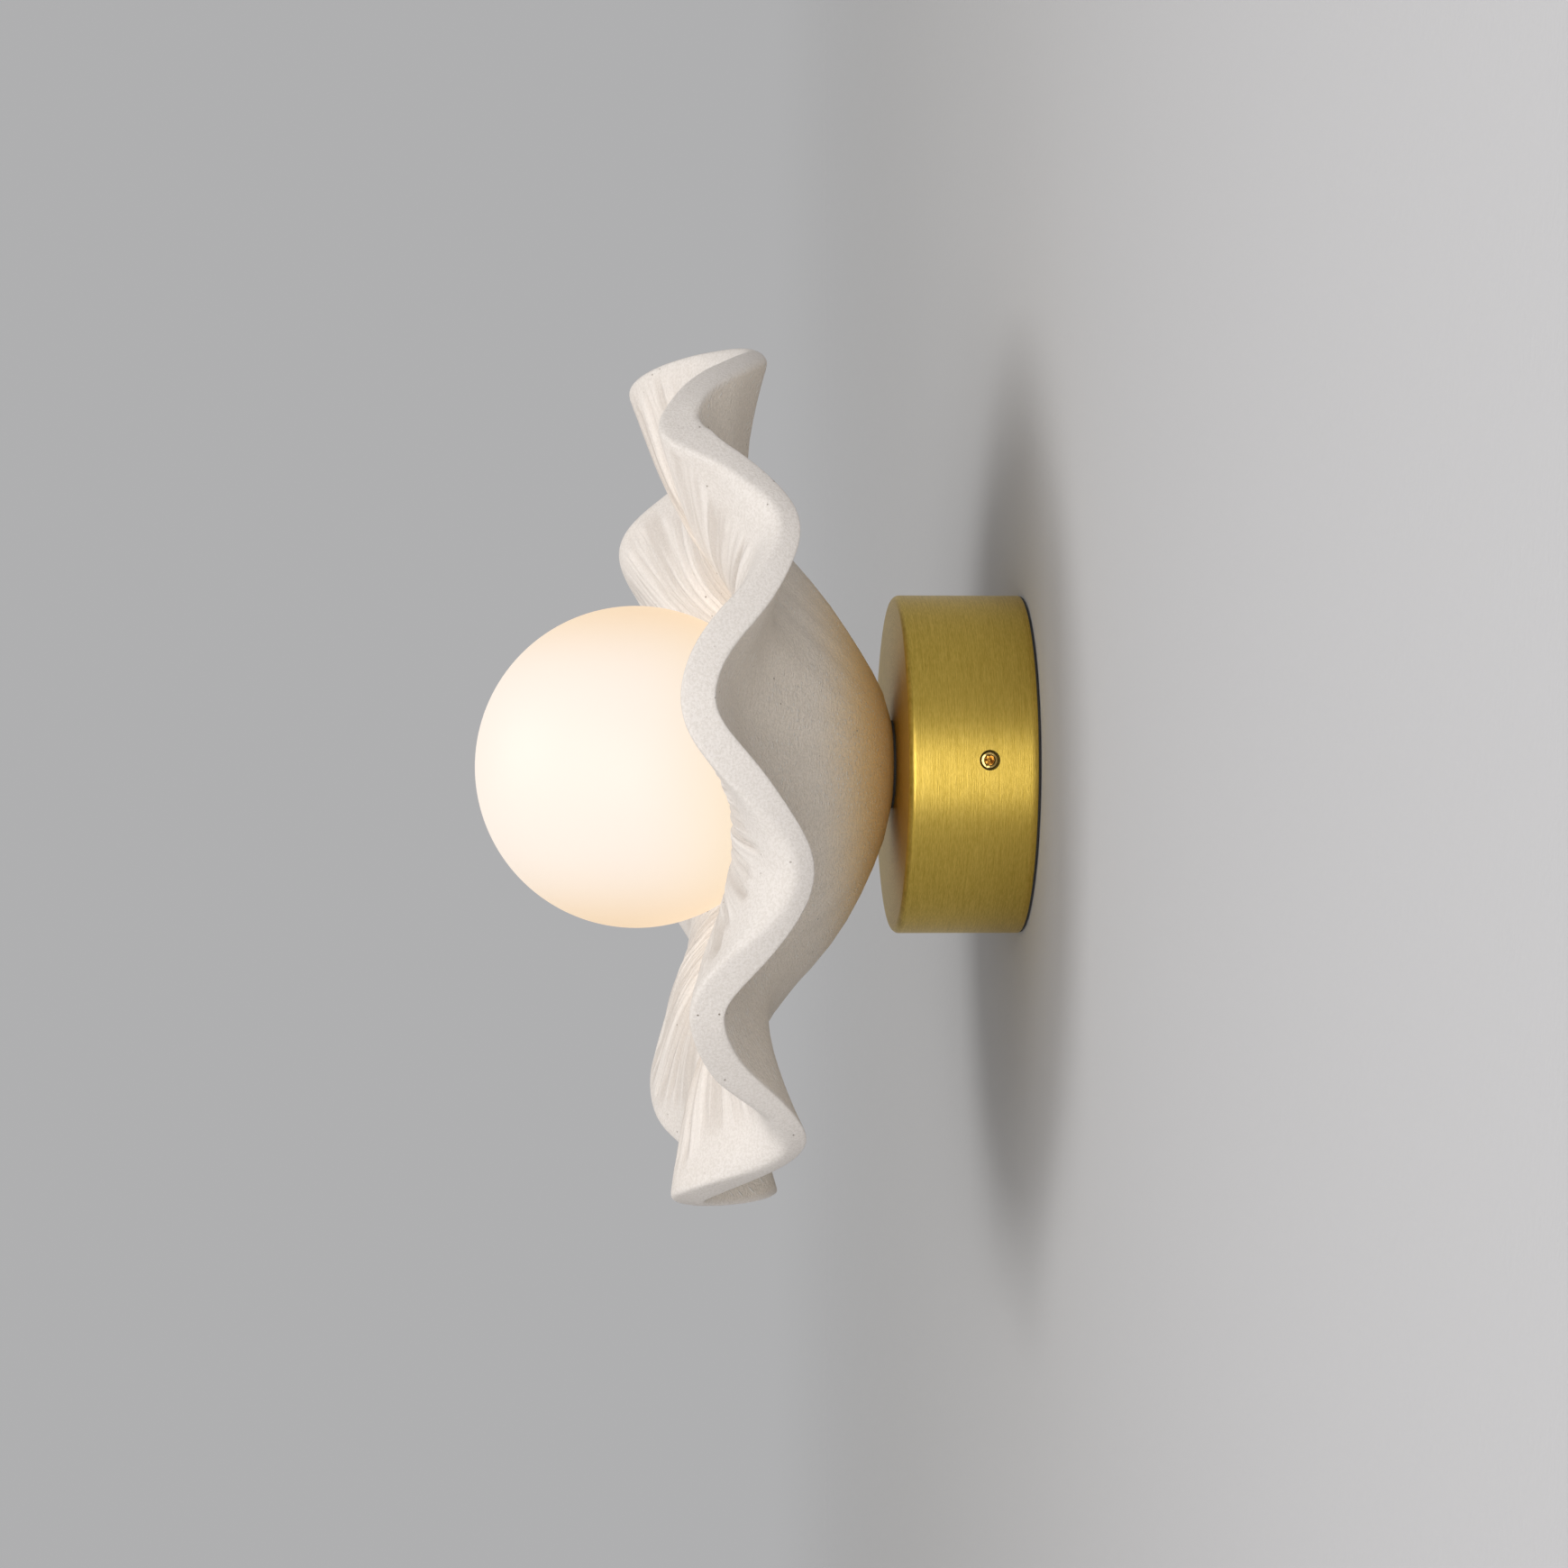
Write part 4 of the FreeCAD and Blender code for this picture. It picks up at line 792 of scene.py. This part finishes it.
finishes = {
    "bisque_ceramic": clay, "opal_glass": opal, "brushed_brass": brushed, "screw_brass": plain_brass,
    "rubber_black": black_rubber, "silicone": silicone,
    "contact_brass": cloudy("contact brass", (0.74, 0.60, 0.30), (0.84, 0.72, 0.40), 0.25, 500.0,
                            Metallic=1.0),
    "zinc_steel": cloudy("zinc plate", (0.52, 0.54, 0.55), (0.66, 0.68, 0.70), 0.28, 260.0, Metallic=1.0),
    "lampholder_ceramic": cloudy("steatite", (0.80, 0.76, 0.66), (0.86, 0.83, 0.75), 0.30, 180.0,
                                 Coat_Weight=0.4, Coat_Roughness=0.15),
    "lamp_plastic": cloudy("lamp base plastic", (0.80, 0.80, 0.77), (0.86, 0.86, 0.84), 0.30, 300.0),
    "terminal_plastic": cloudy("natural nylon", (0.70, 0.70, 0.65), (0.80, 0.80, 0.76), 0.38, 220.0),
    "lead_brown": cloudy("brown sleeve", (0.10, 0.045, 0.022), (0.15, 0.07, 0.035), 0.45, 800.0),
    "lead_blue": cloudy("blue sleeve", (0.02, 0.09, 0.30), (0.04, 0.14, 0.40), 0.45, 800.0)}

lamp_glass = Finish("clear cover", Roughness=0.03, IOR=1.5, Alpha=0.3)
haze = lamp_glass.noise(lamp_glass.place(), 150.0, 3.0)
lamp_glass.drive(Base_Color=lamp_glass.blend(haze, (0.90, 0.92, 0.92), (0.97, 0.98, 0.98)),
                 Alpha=0.22 + haze * 0.12)
finishes["lamp_glass"] = lamp_glass

board = Finish("light board", Roughness=0.5, Emission_Strength=1.0)
x, y, z = board.part_of(board.place())
chip = board.between(z.maths("ABSOLUTE", z), 0.0008, 0.0010)
grain = board.noise(board.place(), 900.0)
phosphor = board.blend(grain, (0.80, 0.62, 0.14), (0.90, 0.74, 0.24))
board.drive(Base_Color=board.blend(chip, (0.82, 0.82, 0.78), phosphor),
            Emission_Color=board.blend(chip, (0.0, 0.0, 0.0), (1.0, 0.84, 0.55)))
finishes["led_board"] = board

two_tone = Finish("green and yellow sleeve", Roughness=0.45)
x, y, z = two_tone.part_of(two_tone.place())
stripe = two_tone.between(x, -0.00006, 0.00006)
scuff = two_tone.noise(two_tone.place(), 700.0)
green = two_tone.blend(scuff, (0.06, 0.26, 0.05), (0.09, 0.34, 0.07))
yellow = two_tone.blend(scuff, (0.72, 0.62, 0.03), (0.82, 0.74, 0.06))
two_tone.drive(Base_Color=two_tone.blend(stripe, green, yellow), Normal=two_tone.relief(scuff, 0.00003))
finishes["lead_green_yellow"] = two_tone

slots = {part["node"]: part["material_slot"] for part in frame["record"]["subparts"]}
for name, node in frame["nodes"].items():
    finish = finishes[slots[name]].material
    if node.material_slots:
        node.material_slots[0].material = finish
    else:
        node.data.materials.append(finish)
print("finishes given to", len(slots), "nodes")

# %% [markdown]
# ## Wall and floor
# The photograph shows a pale grey wall, lit softly from the room, with the shade's broad shadow on
# it. The wall shows from the room side only, and it has an opening behind the bracket, so that the
# bracket is lit when the light is seen from behind. A spun wire gives a round wall with that opening.

# %% Plaster of the stage
def plaster(name, near, far, reach, gone):
    """A pale matte paint, lighter towards +X as painted light. It isn't there from behind, and it fades out
    between the two places of gone, so that the wall has no visible end."""
    finish = Finish(name, Roughness=0.9)
    x, y, z = finish.part_of(finish.place())
    # Painted light: the paint is lighter towards +X, where more light falls.
    along = finish.between(x, reach[0], reach[1])
    speck = finish.noise(finish.place(), 400.0, 3.0)
    finish.drive(Base_Color=finish.blend(along, far, near), Normal=finish.relief(speck, 0.0001))
    behind = finish.node("ShaderNodeNewGeometry", out="Backfacing")
    hidden = behind.maths("MAXIMUM", behind, finish.between(x, gone[0], gone[1], 1.0, 0.0))
    clear = finish.node("ShaderNodeBsdfTransparent")
    paint = Varying(finish, finish.shader.outputs[0])
    surface = finish.node("ShaderNodeMixShader", None, {0: hidden, 1: paint, 2: clear})
    finish.feed(finish.output.inputs["Surface"], surface)
    return finish


def stage_piece(name, shape, finish):
    """A flat stage piece of a bmesh."""
    mesh = bpy.data.meshes.new(name)
    shape.to_mesh(mesh)
    shape.free()
    made = bpy.data.objects.new(name, mesh)
    bpy.context.scene.collection.objects.link(made)
    mesh.materials.append(finish.material)
    return made


print("stage helpers ready")

# %% Wall and floor
WALL_GAP, WALL_REACH, WALL_OPENING = 0.3, 3000.0, 37.0    # mm
FLOOR_HEIGHT, FLOOR_REACH = -1.2, 3.0                     # m
wall_paint = plaster("wall paint", (0.57, 0.57, 0.585), (0.50, 0.50, 0.505), (-0.30, 0.65), (-0.95, -0.22))
wall_shape = spun([(WALL_OPENING, -WALL_GAP), (WALL_REACH, -WALL_GAP)], 96, closed=False)
if sum(face.normal.y for face in wall_shape.faces) > 0:
    bmesh.ops.reverse_faces(wall_shape, faces=wall_shape.faces)
stage_piece("wall", wall_shape, wall_paint)

floor_paint = plaster("floor paint", (0.60, 0.60, 0.60), (0.58, 0.58, 0.58), (-1.0, 1.0), (-5.0, -4.0))
floor_shape = bmesh.new()
corners = [(-1, -1), (1, -1), (1, 1), (-1, 1)]
floor_shape.faces.new([floor_shape.verts.new((x * FLOOR_REACH, y * FLOOR_REACH, FLOOR_HEIGHT))
                       for x, y in corners])
stage_piece("floor", floor_shape, floor_paint)
print("wall opening, in mm of radius:", WALL_OPENING)

# %% [markdown]
# ## Light
# A studio lights such a photograph with large soft panels, and a grey backdrop stands behind. The
# world does both: what the camera, gloss and glass see is the backdrop's grey, and everything else
# gets an even, slightly warm fill. The lit globe also warms the clay round it. Its glass already
# looks lit, so a faint point lamp inside adds that warmth, and the glass casts no shadow to stop it.

# %% Backdrop and fill
BACKDROP = (0.43, 0.43, 0.435)
AMBIENT = (0.42, 0.415, 0.41)
world = bpy.data.worlds.new("studio")
bpy.context.scene.world = world
world.use_nodes = True
nodes, links = world.node_tree.nodes, world.node_tree.links
nodes.clear()
rays = nodes.new("ShaderNodeLightPath")
seen = nodes.new("ShaderNodeMath")
seen.operation = "MAXIMUM"
shown = nodes.new("ShaderNodeMath")
shown.operation = "MAXIMUM"
links.new(rays.outputs["Is Camera Ray"], seen.inputs[0])
links.new(rays.outputs["Is Glossy Ray"], seen.inputs[1])
links.new(seen.outputs[0], shown.inputs[0])
links.new(rays.outputs["Is Transmission Ray"], shown.inputs[1])
mix = nodes.new("ShaderNodeMixShader")
for index, colour in ((1, AMBIENT), (2, BACKDROP)):
    background = nodes.new("ShaderNodeBackground")
    background.inputs["Color"].default_value = (*colour, 1)
    links.new(background.outputs[0], mix.inputs[index])
links.new(shown.outputs[0], mix.inputs[0])
links.new(mix.outputs[0], nodes.new("ShaderNodeOutputWorld").inputs["Surface"])
print("world ready")


# %% Lamps
def softbox(name, place, width, height, power, colour):
    """A rectangular lamp at a place in metres that faces the light fitting."""
    lamp = bpy.data.lights.new(name, "AREA")
    lamp.shape = "RECTANGLE"
    lamp.size, lamp.size_y = width, height
    lamp.energy = power
    lamp.color = colour
    made = bpy.data.objects.new(name, lamp)
    bpy.context.scene.collection.objects.link(made)
    made.location = place
    made.rotation_euler = (CAMERA_AIM - Vector(place)).to_track_quat("-Z", "Y").to_euler()
    return made


warmth = bpy.data.lights.new("lamp glow", "POINT")
warmth.energy = 0.045
warmth.color = (1.0, 0.72, 0.42)
warmth.shadow_soft_size = 0.02
warm_point = bpy.data.objects.new("lamp glow", warmth)
bpy.context.scene.collection.objects.link(warm_point)
warm_point.location = Vector((0, -GLOBE_DEPTH, -GLOBE_DROP)) * MM
globe.visible_shadow = False

softbox("room window", (0.15, -1.7, 0.25), 1.2, 0.9, 10.0, (1.0, 0.985, 0.965))
softbox("side panel", (1.5, -1.2, 0.1), 1.2, 1.2, 8.0, (1.0, 0.985, 0.97))
softbox("camera panel", (2.15, -0.36, -0.2), 0.66, 1.6, 14.0, (1.0, 0.985, 0.96))
bpy.context.scene.view_settings.view_transform = "Standard"
print("three soft lamps and the globe's own lamp ready")
